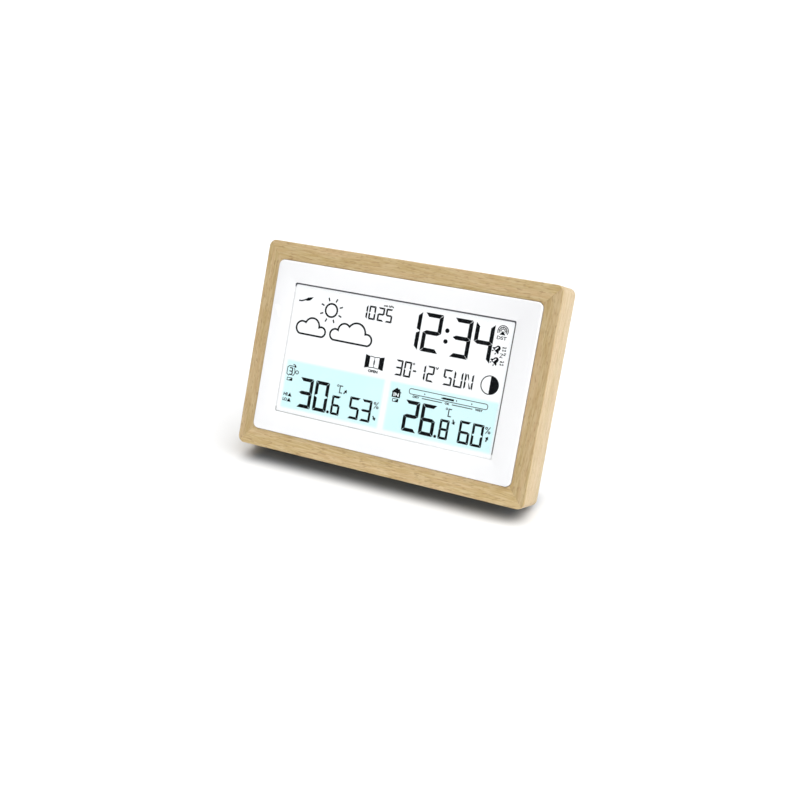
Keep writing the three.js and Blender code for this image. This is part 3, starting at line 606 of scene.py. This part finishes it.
def build_gasket():
    low, high = local_box("window_gasket")
    outer = (high.x - low.x, high.z - low.z, 1.2)
    work = bmesh.new()
    loft(work, [rounded_loop(*outer, high.y), rounded_loop(*outer, low.y), rounded_loop(*GASKET_HOLE, low.y),
                rounded_loop(*GASKET_HOLE, high.y)], closed=True)
    made = link_mesh("gasket_strip", work)
    finish_piece(made, FOAM, BODY, ["window_gasket"], 40)


# ---------------------------------------------------------------- what the display shows

ART_SHIFT = (-0.35, -0.25)  # the glass sits a hair left of and below the window's middle


class Ink:
    """Flat shapes in the plane of the display, gathered into one thin piece"""

    def __init__(self):
        self.work = bmesh.new()

    def shape(self, outline, *holes):
        loops = [[Vector((x, z, 0)) for x, z in loop] for loop in (outline, *holes)]
        verts = [self.work.verts.new((p.x, 0, p.y)) for loop in loops for p in loop]
        for triangle in tessellate_polygon(loops):
            self.work.faces.new([verts[i] for i in triangle])

    def disc(self, x, z, r, sides=28):
        self.shape(circle(x, z, r, sides))

    def ring(self, x, z, r, stroke, sides=48):
        self.shape(circle(x, z, r, sides), circle(x, z, r - stroke, sides))

    def line(self, points, stroke, closed=False):
        """A stroke of even width along a run of points"""
        left, right = offset_line(points, stroke / 2, closed)
        if closed:
            inner, outer = sorted((left, right), key=lambda side: abs(area(side)))
            self.shape(outer, inner)
        else:
            self.shape(left + right[::-1])

    def text(self, body, x, z, height, width=None, bold=0.0):
        """Sans serif lettering whose box starts at (x, z)"""
        curve = bpy.data.curves.new("lettering", "FONT")
        curve.body = body
        curve.offset = bold
        holder = bpy.data.objects.new("lettering", curve)
        bpy.context.scene.collection.objects.link(holder)
        mesh = bpy.data.meshes.new_from_object(holder.evaluated_get(bpy.context.evaluated_depsgraph_get()))
        bpy.data.objects.remove(holder)
        spots = [v.co.copy() for v in mesh.vertices]
        low_x, low_y = min(p.x for p in spots), min(p.y for p in spots)
        grow_z = height / (max(p.y for p in spots) - low_y)
        grow_x = width / (max(p.x for p in spots) - low_x) if width else grow_z
        placed = [(x + (p.x - low_x) * grow_x, 0, z + (p.y - low_y) * grow_z) for p in spots]
        verts = [self.work.verts.new(place) for place in placed]
        for face in mesh.polygons:
            self.work.faces.new([verts[i] for i in face.vertices])
        bpy.data.meshes.remove(mesh)

    def build(self, name, material=INK, front=INK_FRONT, back=INK_BACK, shift=ART_SHIFT):
        """Gives the shapes their thickness and makes the piece."""
        for face in self.work.faces:
            face.normal_update()
            if face.normal.y > 0:
                face.normal_flip()
        bmesh.ops.translate(self.work, vec=(shift[0], front, shift[1]), verts=self.work.verts)
        grown = bmesh.ops.extrude_face_region(self.work, geom=self.work.faces[:], use_keep_orig=True)
        moved = [g for g in grown["geom"] if isinstance(g, bmesh.types.BMVert)]
        bmesh.ops.translate(self.work, vec=(0, back - front, 0), verts=moved)
        made = link_mesh(name, self.work)
        return finish_piece(made, material, BODY, (), 20)


def circle(x, z, r, sides=28):
    turns = [2 * math.pi * i / sides for i in range(sides)]
    return [(x + r * math.cos(t), z + r * math.sin(t)) for t in turns]


def area(points):
    return sum(a[0] * b[1] - b[0] * a[1] for a, b in zip(points, points[1:] + points[:1])) / 2


def offset_line(points, reach, closed):
    """Points to either side of a run of points, mitred at its bends"""
    spots = [Vector(p) for p in points]
    count = len(spots)
    left, right = [], []
    for i, spot in enumerate(spots):
        before = spots[i - 1] if closed or i > 0 else None
        after = spots[(i + 1) % count] if closed or i < count - 1 else None
        ways = [(spot - before).normalized()] if before is not None else []
        ways += [(after - spot).normalized()] if after is not None else []
        normals = [Vector((-way.y, way.x)) for way in ways]
        middle = sum(normals, Vector((0, 0))).normalized()
        stretch = min(1 / max(middle.dot(normals[0]), 0.3), 2.0)
        left.append(tuple(spot + middle * reach * stretch))
        right.append(tuple(spot - middle * reach * stretch))
    return left, right


def arc(x, z, r, start, end, steps=12):
    """Points on a circle, with its angles in degrees"""
    turns = [math.radians(start + (end - start) * i / steps) for i in range(steps + 1)]
    return [(x + r * math.cos(t), z + r * math.sin(t)) for t in turns]


def arc_through(first, middle, last, steps=14):
    """Points on the circle through three points, from the first to the last"""
    (ax, az), (bx, bz), (cx, cz) = first, middle, last
    d = 2 * (ax * (bz - cz) + bx * (cz - az) + cx * (az - bz))
    a2, b2, c2 = ax * ax + az * az, bx * bx + bz * bz, cx * cx + cz * cz
    x = (a2 * (bz - cz) + b2 * (cz - az) + c2 * (az - bz)) / d
    z = (a2 * (cx - bx) + b2 * (ax - cx) + c2 * (bx - ax)) / d
    start, via, end = [math.degrees(math.atan2(pz - z, px - x)) for px, pz in (first, middle, last)]
    while via > start:
        via -= 360
    while end > via:
        end -= 360
    return arc(x, z, math.hypot(ax - x, az - z), start, end, steps)


DIGITS = {"0": "abcdef", "1": "bc", "2": "abged", "3": "abgcd", "4": "fgbc", "5": "afgcd", "6": "afgedc",
          "8": "abcdefg", "S": "afjkcd", "U": "fedcb", "N": "febcmn"}


def segment(name, x0, z0, w, h, t):
    """Outline of one segment of a digit: a to g as usual, j and k the halves of g, m and n a diagonal"""
    gap = 0.02 * t
    x1, z1, zm = x0 + w, z0 + h, z0 + h / 2
    half, middle = t / 2, x0 + w / 2
    tip, corner = x0 + 0.15 * t, 0.12 * t
    across = [(x0 + corner, z1), (x1 - corner, z1), (x1 - gap - t, z1 - t), (x0 + gap + t, z1 - t)]
    upper = [(x0, z1 - corner), (x0 + t, z1 - gap - t), (x0 + t, zm + half + gap), (x0, zm + gap)]
    bar = [(tip, zm), (x0 + t, zm + half), (x1 - t, zm + half), (x0 + x1 - tip, zm),
           (x1 - t, zm - half), (x0 + t, zm - half)]
    stub = [(tip, zm), (x0 + t, zm + half), (middle - 0.8 * t, zm + half), (middle - 0.4 * t, zm),
            (middle - 0.8 * t, zm - half), (x0 + t, zm - half)]
    slope = [(x0 + t + gap, z1 - t * 0.5), (x0 + 2.0 * t, z1 - t * 0.5), (middle - gap, zm + 1.6 * t),
             (middle - gap, zm + 0.3 * t)]

    def mirror_x(points):
        return [(x0 + x1 - x, z) for x, z in points]

    def mirror_z(points):
        return [(x, z0 + z1 - z) for x, z in points]

    return {
        "a": across,
        "d": mirror_z(across),
        "f": upper,
        "e": mirror_z(upper),
        "b": mirror_x(upper),
        "c": mirror_x(mirror_z(upper)),
        "g": bar,
        "j": stub,
        "k": mirror_x(stub),
        "m": slope,
        "n": mirror_x(mirror_z(slope)),
    }[name]


def reading(ink, text, starts, z, width, height, stroke):
    for character, x in zip(text, starts):
        for name in DIGITS[character]:
            ink.shape(segment(name, x, z, width, height, stroke))


CLOCK_STROKE = 2.5
LARGE_STROKE = 2.2
MEDIUM_STROKE = 1.55
SMALL_STROKE = 1.1
OUTLINE = 1.15
THIN = 0.5
LOW_ROW = 31.0  # foot of the two lower readings


def build_readings():
    clock = Ink()
    reading(clock, "1234", [3.1, 17.1, 36.7, 50.8], 81.3, 12.2, 23.9, CLOCK_STROKE)
    clock.disc(33, 96.4, 1.4)
    clock.disc(33, 89.8, 1.4)
    clock.build("clock_digits")

    outdoor = Ink()
    reading(outdoor, "30", [-61.0, -49.4], LOW_ROW, 9.9, 19.3, LARGE_STROKE)
    reading(outdoor, "6", [-36.3], LOW_ROW, 6.2, 12.3, 1.5)
    reading(outdoor, "53", [-23.7, -15.3], LOW_ROW, 7.3, 13.9, MEDIUM_STROKE)
    outdoor.disc(-38.0, 32.0, 0.95)
    outdoor.build("outdoor_digits")

    indoor = Ink()
    reading(indoor, "26", [14.1, 25.6], LOW_ROW, 9.9, 19.3, LARGE_STROKE)
    reading(indoor, "8", [38.8], LOW_ROW, 6.2, 12.2, 1.5)
    reading(indoor, "60", [51.6, 60.1], LOW_ROW, 7.3, 13.9, MEDIUM_STROKE)
    indoor.disc(37.0, 31.9, 0.95)
    indoor.build("indoor_digits")

    small = Ink()
    reading(small, "1025", [-26.7, -21.1, -15.0, -9.4], 94.5, 4.7, 8.7, SMALL_STROKE)
    reading(small, "30", [3.2, 9.1], 63.7, 4.9, 9.8, SMALL_STROKE)
    reading(small, "12", [18.7, 24.6], 63.7, 4.9, 9.8, SMALL_STROKE)
    reading(small, "SUN", [35.7, 42.6, 49.5], 63.7, 5.8, 9.8, SMALL_STROKE)
    small.line([(15.2, 68.4), (17.4, 68.4)], 1.0)
    small.build("date_and_pressure_digits")


SMALL_CLOUD = [((-67.5, 77.8), (-70.3, 81.6), (-64.0, 85.3)), ((-64.0, 85.3), (-58.9, 88.8), (-54.0, 83.5)),
               ((-54.0, 83.5), (-49.1, 80.8), (-51.6, 77.8))]
LARGE_CLOUD = [((-42.8, 77.7), (-45.6, 81.0), (-40.3, 84.3)), ((-40.3, 84.3), (-36.3, 89.0), (-32.7, 87.6)),
               ((-32.7, 87.6), (-27.0, 90.7), (-21.0, 84.6)), ((-21.0, 84.6), (-16.0, 81.3), (-18.5, 77.7))]


def build_forecast():
    sky = Ink()
    for lobes in (SMALL_CLOUD, LARGE_CLOUD):
        outline = [point for lobe in lobes for point in arc_through(*lobe)[:-1]] + [lobes[-1][2]]
        sky.line(outline, OUTLINE, closed=True)
    sun = (-47.3, 95.7)
    sky.ring(*sun, 4.75, OUTLINE)
    for i in range(8):
        angle = math.radians(22.5 + 45 * i)
        ray = [(sun[0] + r * math.cos(angle), sun[1] + r * math.sin(angle)) for r in (6.0, 8.3)]
        sky.line(ray, 0.9)
    sky.shape([(-67.6, 99.3), (-65.4, 101.1), (-61.4, 102.0), (-63.4, 99.6), (-65.6, 98.9)])
    sky.line([(-71.7, 98.4), (-69.4, 98.5), (-66.4, 99.8)], 0.9)
    sky.build("forecast_picture")


def bell(ink, x, z, size=1.0):
    """A tilted alarm bell: a dark dome with a light slot, its rim, and two feet"""
    turn = math.radians(-40)

    def turned(points):
        return [(x + size * (px * math.cos(turn) - pz * math.sin(turn)),
                 z + size * (px * math.sin(turn) + pz * math.cos(turn))) for px, pz in points]

    dome = [(-2.4, -1.7), (-2.2, -1.0), (-1.5, -0.4), *arc(0, 0.5, 1.45, 175, 5, 8), (1.5, -0.4), (2.2, -1.0),
            (2.4, -1.7)]
    slot = [(-1.0, -1.2), (-0.7, 0.7), (-0.1, 1.0), (-0.2, -1.2)]
    ink.shape(turned(dome), turned(slot))
    for side in (-1, 1):
        ink.line(turned([(side * 0.9, -2.1), (side * 1.3, -3.0)]), 0.6 * size)


def cell_sign(ink, x, z):
    """A small cell, outlined, with a slanting level in it"""
    ink.line([(x - 1.8, z - 0.85), (x + 1.8, z - 0.85), (x + 1.8, z + 0.85), (x - 1.8, z + 0.85)], 0.42, True)
    ink.shape([(x - 1.0, z - 0.8), (x + 1.8, z - 0.8), (x + 1.8, z + 0.9)])


def trend(ink, x, z, way, bend):
    """A small curved arrow that shows which way a reading is going"""
    angle = math.radians(way)

    def spin(px, pz):
        return (x + px * math.cos(angle) - pz * math.sin(angle),
                z + px * math.sin(angle) + pz * math.cos(angle))

    ink.shape([spin(-0.2, -1.25), spin(1.6, 0.1), spin(-0.2, 1.25)])
    ink.line([spin(-1.7, bend), spin(-1.0, bend * 0.45), spin(0.1, 0.0)], 0.8)


def build_signs():
    signs = Ink()
    # Time signal mast, the two alarms and snooze
    mast = (68.05, 102.1)
    for r in (1.3, 2.3, 3.3):
        signs.line(arc(*mast, r, -30, 210, 20), 0.5)
    for i in range(5):
        angle = math.radians(10 + 40 * i)
        spoke = [(mast[0] + r * math.cos(angle), mast[1] + r * math.sin(angle)) for r in (1.2, 3.2)]
        signs.line(spoke, 0.28)
    signs.shape([(mast[0] - 1.9, 99.8), (mast[0], 102.2), (mast[0] + 1.9, 99.8)])
    signs.text("DST", 64.9, 96.9, 2.1, 6.2, 0.02)
    for z, low in ((91.2, 90.3), (84.2, 81.8)):
        bell(signs, 66.6, z, 1.12)
        signs.text("M-F", 69.6, low + 1.6, 1.1, 2.5, 0.05)
        signs.text("S-S", 69.6, low, 1.1, 2.5, 0.05)
    for x, z, w, h in ((68.9, 86.5, 1.8, 2.2), (71.2, 88.0, 1.1, 1.2)):
        signs.line([(x, z + h), (x + w, z + h), (x, z), (x + w, z)], 0.45)
    # Moon at first quarter
    moon = (65.9, 69.1)
    half = [(moon[0] + 0.1, moon[1] - 5.8), *arc(*moon, 5.8, -88, 88, 30), (moon[0] + 0.1, moon[1] + 5.8)]
    signs.shape(half)
    signs.line(arc(*moon, 5.55, 90, 270, 36), 0.62)
    # Open window
    signs.shape([(-18.0, 64.4), (-14.9, 65.2), (-14.9, 72.2), (-18.0, 73.0)])
    signs.shape([(-8.3, 65.2), (-5.0, 64.4), (-5.0, 73.0), (-8.3, 72.2)])
    # House
    signs.shape([(4.1, 50.1), (9.7, 50.1), (9.7, 53.4), (10.4, 53.4), (9.1, 54.5), (9.1, 55.6), (8.3, 55.6),
                 (8.3, 55.2), (7.0, 56.3), (3.5, 53.4), (4.1, 53.4)])
    # Marker on the comfort bar
    signs.shape([(36.4, 55.6), (38.2, 55.1), (45.2, 55.1), (45.2, 56.3), (38.2, 56.3)])
    cell_sign(signs, 6.9, 48.4)
    cell_sign(signs, -69.0, 47.5)
    for z in (36.4, 33.0):
        signs.shape([(-68.5, z), (-65.5, z), (-67.0, z + 2.5)])
    trend(signs, -27.7, 46.8, 60, 0.6)
    trend(signs, -5.2, 34.4, -65, -0.5)
    trend(signs, 47.3, 42.5, -60, 0.6)
    trend(signs, 70.1, 37.2, 60, -0.7)
    signs.build("sign_shapes")

    inside = Ink()
    inside.text("IN", 5.1, 50.8, 2.3, 3.7, 0.04)
    inside.build("house_lettering", PAPER, INK_FRONT - 0.03, INK_FRONT - 0.005)


def build_fine_marks():
    fine = Ink()
    fine.text("mb hPa", -11.6, 104.0, 1.35, 6.9, 0.04)
    # Window casement with its handles, and the word below
    for z, sag in ((65.1, 0.35), (72.3, -0.35)):
        fine.line([(-14.9, z), (-11.6, z + sag), (-8.3, z)], 0.45)
    fine.line([(-11.6, 65.5), (-11.6, 71.9)], 0.35)
    fine.line([(-11.6, 67.4), (-11.6, 70.0)], 0.9)
    fine.text("OPEN", -14.9, 62.2, 1.75, 6.7, 0.05)
    # Day and month marks
    fine.ring(15.2, 72.7, 0.75, 0.4, 16)
    fine.line([(30.0, 73.3), (30.9, 72.2), (31.7, 73.5)], 0.6)
    # Outdoor sensor with its channel, sending
    fine.line([(-70.0, 49.6), (-71.7, 50.8), (-71.7, 55.0), (-70.4, 56.0), (-67.4, 56.0)], THIN)
    reading(fine, "3", [-70.5], 50.1, 2.9, 5.0, 0.75)
    fine.line(arc(-69.6, 52.6, 3.6, -50, 40, 10), THIN)
    fine.ring(-64.4, 52.6, 1.3, 0.5, 20)
    fine.line(arc(-67.6, 55.3, 1.9, 5, 100, 8), 0.6)
    fine.disc(-66.5, 55.9, 0.6, 12)
    fine.text("HI", -71.6, 36.5, 2.1, 2.9, 0.04)
    fine.text("LO", -71.7, 33.1, 2.1, 3.1, 0.04)
    # Units
    for x, z in ((-30.1, 50.0), (45.1, 50.0)):
        fine.ring(x - 3.4, z - 0.1, 0.75, 0.4, 16)
        fine.line([(x, z), (x - 1.9, z), (x - 1.9, z - 4.4), (x, z - 4.4)], 0.65)
    for x, z in ((-5.2, 42.6), (69.9, 42.3)):
        fine.ring(x - 1.0, z + 1.2, 0.85, 0.5, 16)
        fine.ring(x + 1.0, z - 1.2, 0.85, 0.5, 16)
        fine.line([(x - 1.2, z - 2.1), (x + 1.3, z + 2.2)], 0.45)
    # Comfort bar
    outline = [(x, z) for x, _, z in rounded_loop(51.9, 3.3, 1.3, 0, 41.2, 55.9, 5)]
    fine.line(outline, 0.42, closed=True)
    for x in (25.7, 46.9, 56.9):
        fine.disc(x, 55.8, 0.42, 12)
    for start, end in ((24.4, 37.8), (44.4, 57.8)):
        fine.line([(start, 52.9), (end, 52.9)], 0.5)
    fine.text("DRY", 18.1, 52.3, 1.35, 4.5, 0.05)
    fine.text("OK", 39.6, 52.3, 1.35, 3.2, 0.05)
    fine.text("WET", 59.5, 52.3, 1.35, 4.9, 0.05)
    fine.build("fine_signs", FINE_INK)


# ---------------------------------------------------------------- rear, keys and small parts

KEYS = ["set_button", "alarm_button", "memory_button", "plus_button", "minus_button", "light_button"]
PANEL_THICK = 2.0  # of the rear cover's panel
FLANGE_FIT = 0.15  # between a key's flange and that panel
FLANGE_THICK = 1.0
FLANGE_SPREAD = (2.4, 2.0)
KEY_STEM = 3.6
KEY_EDGE = 0.6
KEY_DISH = 0.12  # depth of the hollow in a key's face


def build_keys():
    flange = COVER_HIGH.y - PANEL_THICK - FLANGE_FIT
    for name in KEYS:
        low, high = local_box(name)
        x, z = middle_of(name)
        wide, tall = high.x - low.x, high.z - low.z
        w, h = wide - FLANGE_SPREAD[0], tall - FLANGE_SPREAD[1]
        cap = (w, h, h / 2 - 0.05)
        at = {"x": x, "z": z}
        shelf = flange - FLANGE_THICK
        loops = [rounded_loop(KEY_STEM, KEY_STEM, KEY_STEM / 2 - 0.01, y, **at) for y in (low.y, shelf)]
        loops += [rounded_loop(wide, tall, 1.5, y, **at) for y in (shelf, flange)]
        loops += [rounded_loop(*cap, flange, **at)]
        loops += edge_round(*cap, flange, high.y, KEY_EDGE, 5, **at)
        loops += [rounded_loop(w - 3, h - 3, h / 2 - 1.6, high.y - KEY_DISH, **at)]
        work = bmesh.new()
        loft(work, loops)
        made = link_mesh(name.replace("button", "key_cap"), work)
        finish_piece(made, KEY_GREY, name, [name], 40)


def build_rear_signs():
    """Raised signs beside the keys: a clock face, a bell, bars for the memory, plus, minus and a lamp"""
    signs = Ink()
    x = local_box("set_button")[1].x + 4.2
    heights = [middle_of(name)[1] for name in KEYS if name != "light_button"]
    signs.ring(x, heights[0], 2.1, 0.4, 32)
    signs.line([(x, heights[0] + 1.3), (x, heights[0]), (x + 0.9, heights[0])], 0.4)
    bell(signs, x, heights[1])
    foot = heights[2] - 1.7
    for i, tall in enumerate((1.4, 2.4, 3.4)):
        left = x - 1.9 + 1.4 * i
        signs.shape([(left, foot), (left + 0.9, foot), (left + 0.9, foot + tall), (left, foot + tall)])
    signs.line([(x - 1.7, heights[3]), (x + 1.7, heights[3])], 0.5)
    for way in (-1, 1):
        signs.line([(x, heights[3] + way * 0.25), (x, heights[3] + way * 1.7)], 0.5)
    signs.line([(x - 1.7, heights[4]), (x + 1.7, heights[4])], 0.5)
    lamp_x, lamp_z = local_box("light_button")[1].x + 4.5, middle_of("light_button")[1]
    signs.ring(lamp_x, lamp_z, 1.3, 0.4, 24)
    for i in range(8):
        angle = math.pi / 4 * i
        signs.line([(lamp_x + r * math.cos(angle), lamp_z + r * math.sin(angle)) for r in (1.9, 2.7)], 0.35)
    signs.build("rear_signs", MARK_GREY, COVER_HIGH.y + 0.12, COVER_HIGH.y - 0.05, (0, 0))


def build_screws():
    for name in COVER_SCREWS:
        low, high = local_box(name)
        head = (high.x - low.x) / 2
        seat = high.y - 1.9
        profile = [(0.15, low.y), (1.0, low.y + 1.2), (1.25, low.y + 1.6), (1.25, seat), (head, seat),
                   (head, seat + 1.1), (head * 0.82, high.y - 0.15), (head * 0.5, high.y), (0.9, high.y),
                   (0.35, high.y - 1.1)]
        work = bmesh.new()
        loft(work, lathe_loops(profile, 24, *middle_of(name)))
        made = link_mesh(name + "_turned", work)
        finish_piece(made, STEEL, BODY, [name], 30)


def build_mouldings():
    refined("lcd_front_glass", DISPLAY, 0)
    refined("rear_cover", COVER_WHITE, 0.18)
    refined("battery_door", COVER_WHITE, 0.15)
    # These two lean another way than the housing, so they are kept in the table's frame.
    refined("stand", COVER_WHITE, 0.25, place=Matrix.Identity(4))
    refined("stand_foot_pad", RUBBER, 0.2, place=Matrix.Identity(4))
    refined("foot_left", RUBBER, 0.25)
    refined("foot_right", RUBBER, 0.25)
    refined("power_inlet", BLACK, 0.1)


def build_cells():
    """Dry cells, all in the sleeve's finish: a sleeve that laps over the ends, a cap with its nub, and a flat
    base
    """
    for name in ("battery_upper", "battery_middle", "battery_lower"):
        low, high = local_box(name)
        r, length = (high.z - low.z) / 2, high.x - low.x
        points_right = nub_is_at_the_right(name)
        base = [(0.02, 0.0), (r - 1.0, 0.0), (r - 0.5, 0.05), (r, 0.5)]
        shoulder = [(r, length - 1.7), (r - 0.35, length - 1.25), (r - 0.9, length - 1.2),
                    (r - 1.1, length - 1.35)]
        nub = [(2.2, length - 1.35), (1.9, length - 1.15), (1.9, length - 0.25), (1.65, length - 0.02),
               (0.02, length)]
        work = bmesh.new()
        loft(work, lathe_loops(base + shoulder + nub, 40))
        turn = Matrix.Rotation(math.radians(-90 if points_right else 90), 4, "Z")
        centre = Vector((low.x if points_right else high.x, (low.y + high.y) / 2, (low.z + high.z) / 2))
        made = link_mesh(name + "_cell", work)
        finish_piece(made, SLEEVE, BODY, [name], 25,
                     HOUSE @ Matrix.Translation(centre * MM) @ turn)


def nub_is_at_the_right(name):
    """Whether a cell's positive end, which has the nub, is its right-hand one"""
    low, high = local_box(name)
    radius, middle_z = (high.z - low.z) / 2, middle_of(name)[1]
    spots = [INTO_HOUSE @ v.co / MM for v in frame["nodes"][name].data.vertices]
    flat_end = [p.x for p in spots if abs(p.z - middle_z) > radius * 0.7]
    return high.x - max(flat_end) > min(flat_end) - low.x


def dress_cad_nodes():
    """Materials for the CAD solids that stay as they are"""
    for name, node in frame["nodes"].items():
        material = LENS if name == "window_lens" else SLOT_MATERIALS.get(slot_of(name), INNER_WHITE)
        node.data.materials.clear()
        node.data.materials.append(material)


# ---------------------------------------------------------------- stage, light and camera

FLOOR_HALF = 6000.0
FLOOR_THICK = 20.0
FLOOR_DROP = 0.2  # below the feet, so that the two faces don't flicker
SHADE_X = (-95.0, 96.0)
SHADE_Y = (-36.6, -2.0)
SHADE_SLANT = 0.022  # the patch's long edges draw back by this much per millimetre to the right
SHADE_SOFT = 9.0
SHADE_COLOUR = (0.25, 0.285, 0.345, 1)
FLOOR_WHITE = (0.92, 0.92, 0.92, 1)


def build_stage():
    """A white studio floor, with a dark soft-edged patch that deepens the shadow under the station"""
    work = bmesh.new()
    around = ((-1, -1), (1, -1), (1, 1), (-1, 1))
    loft(work, [[(sx * FLOOR_HALF, sy * FLOOR_HALF, z) for sx, sy in around] for z in (-FLOOR_THICK, 0.0)])
    floor = link_mesh("studio_floor", work)
    made, tree, shader = new_material("studio_white", Roughness=0.9, Specular_IOR_Level=0.1)
    split = add(tree, "SeparateXYZ", Vector=object_place(tree))
    wide = between(tree, split.outputs[0], *SHADE_X, SHADE_SOFT)
    draw_back = maths(tree, "MULTIPLY", split.outputs[0], SHADE_SLANT)
    deep = between(tree, maths(tree, "SUBTRACT", split.outputs[1], draw_back), *SHADE_Y, SHADE_SOFT)
    shade = maths(tree, "MULTIPLY", wide, deep)
    put(shader.inputs["Base Color"], blend_colours(tree, shade, FLOOR_WHITE, SHADE_COLOUR))
    floor.data.materials.append(made)
    floor.location.z = -FLOOR_DROP * MM


def sun(name, azimuth, elevation, strength, spread):
    """A distant lamp: azimuth from straight in front towards the right, and elevation, in degrees"""
    lamp = bpy.data.lights.new(name, "SUN")
    lamp.energy = strength
    lamp.angle = math.radians(spread)
    holder = bpy.data.objects.new(name, lamp)
    holder.rotation_euler = (math.radians(90 - elevation), 0, math.radians(azimuth))
    bpy.context.scene.collection.objects.link(holder)


TOP_LIGHT = 2.35
KEY_LIGHT = 0.1
SKY_LOW = 0.11
SKY_RIGHT = 2.25
HORIZON = 1.05
HORIZON_REACH = (0.09, 0.15)  # sines of the elevations between which the horizon's glow ends


def build_lights():
    """A soft top light, a weak key from the front right, and a sky with a bright right and horizon"""
    sun("top", 0, 89, TOP_LIGHT, 80)
    sun("key", 26, 58, KEY_LIGHT, 30)
    world = bpy.data.worlds.new("studio")
    world.use_nodes = True
    tree = world.node_tree
    way = add(tree, "SeparateXYZ", Vector=add(tree, "TexCoord").outputs["Generated"])
    sky = ramp(tree, way.outputs[0], 0.0, 1.0, SKY_LOW, SKY_RIGHT)
    low = ramp(tree, maths(tree, "ABSOLUTE", way.outputs[2]), *HORIZON_REACH, HORIZON, 0.0)
    glow = maths(tree, "MAXIMUM", sky, low)
    put(tree.nodes["Background"].inputs[0], (0.96, 0.98, 1.0, 1.0))
    put(tree.nodes["Background"].inputs[1], glow)
    bpy.context.scene.world = world


CAMERA_PLACE = (288.8, -638.6, 108.8)  # mm, in the housing's frame
CAMERA_LENS, CAMERA_SENSOR = 51.03, 36.0
CAMERA_AZIMUTH = math.radians(26.29)
CAMERA_ELEVATION = math.radians(25.82)


def build_camera():
    camera = bpy.data.cameras.new("camera")
    camera.lens = CAMERA_LENS
    camera.sensor_width = CAMERA_SENSOR
    camera.clip_start = 0.01
    holder = bpy.data.objects.new("camera", camera)
    holder.location = HOUSE @ (Vector(CAMERA_PLACE) * MM)
    holder.rotation_euler = (math.pi / 2 - CAMERA_ELEVATION, 0, CAMERA_AZIMUTH)
    bpy.context.scene.collection.objects.link(holder)
    bpy.context.scene.camera = holder


bpy.context.scene.view_settings.view_transform = "Standard"
build_camera()
dress_cad_nodes()
build_frame()
build_fascia()
build_gasket()
build_readings()
build_forecast()
build_signs()
build_fine_marks()
build_mouldings()
build_keys()
build_rear_signs()
build_screws()
build_cells()
build_stage()
build_lights()
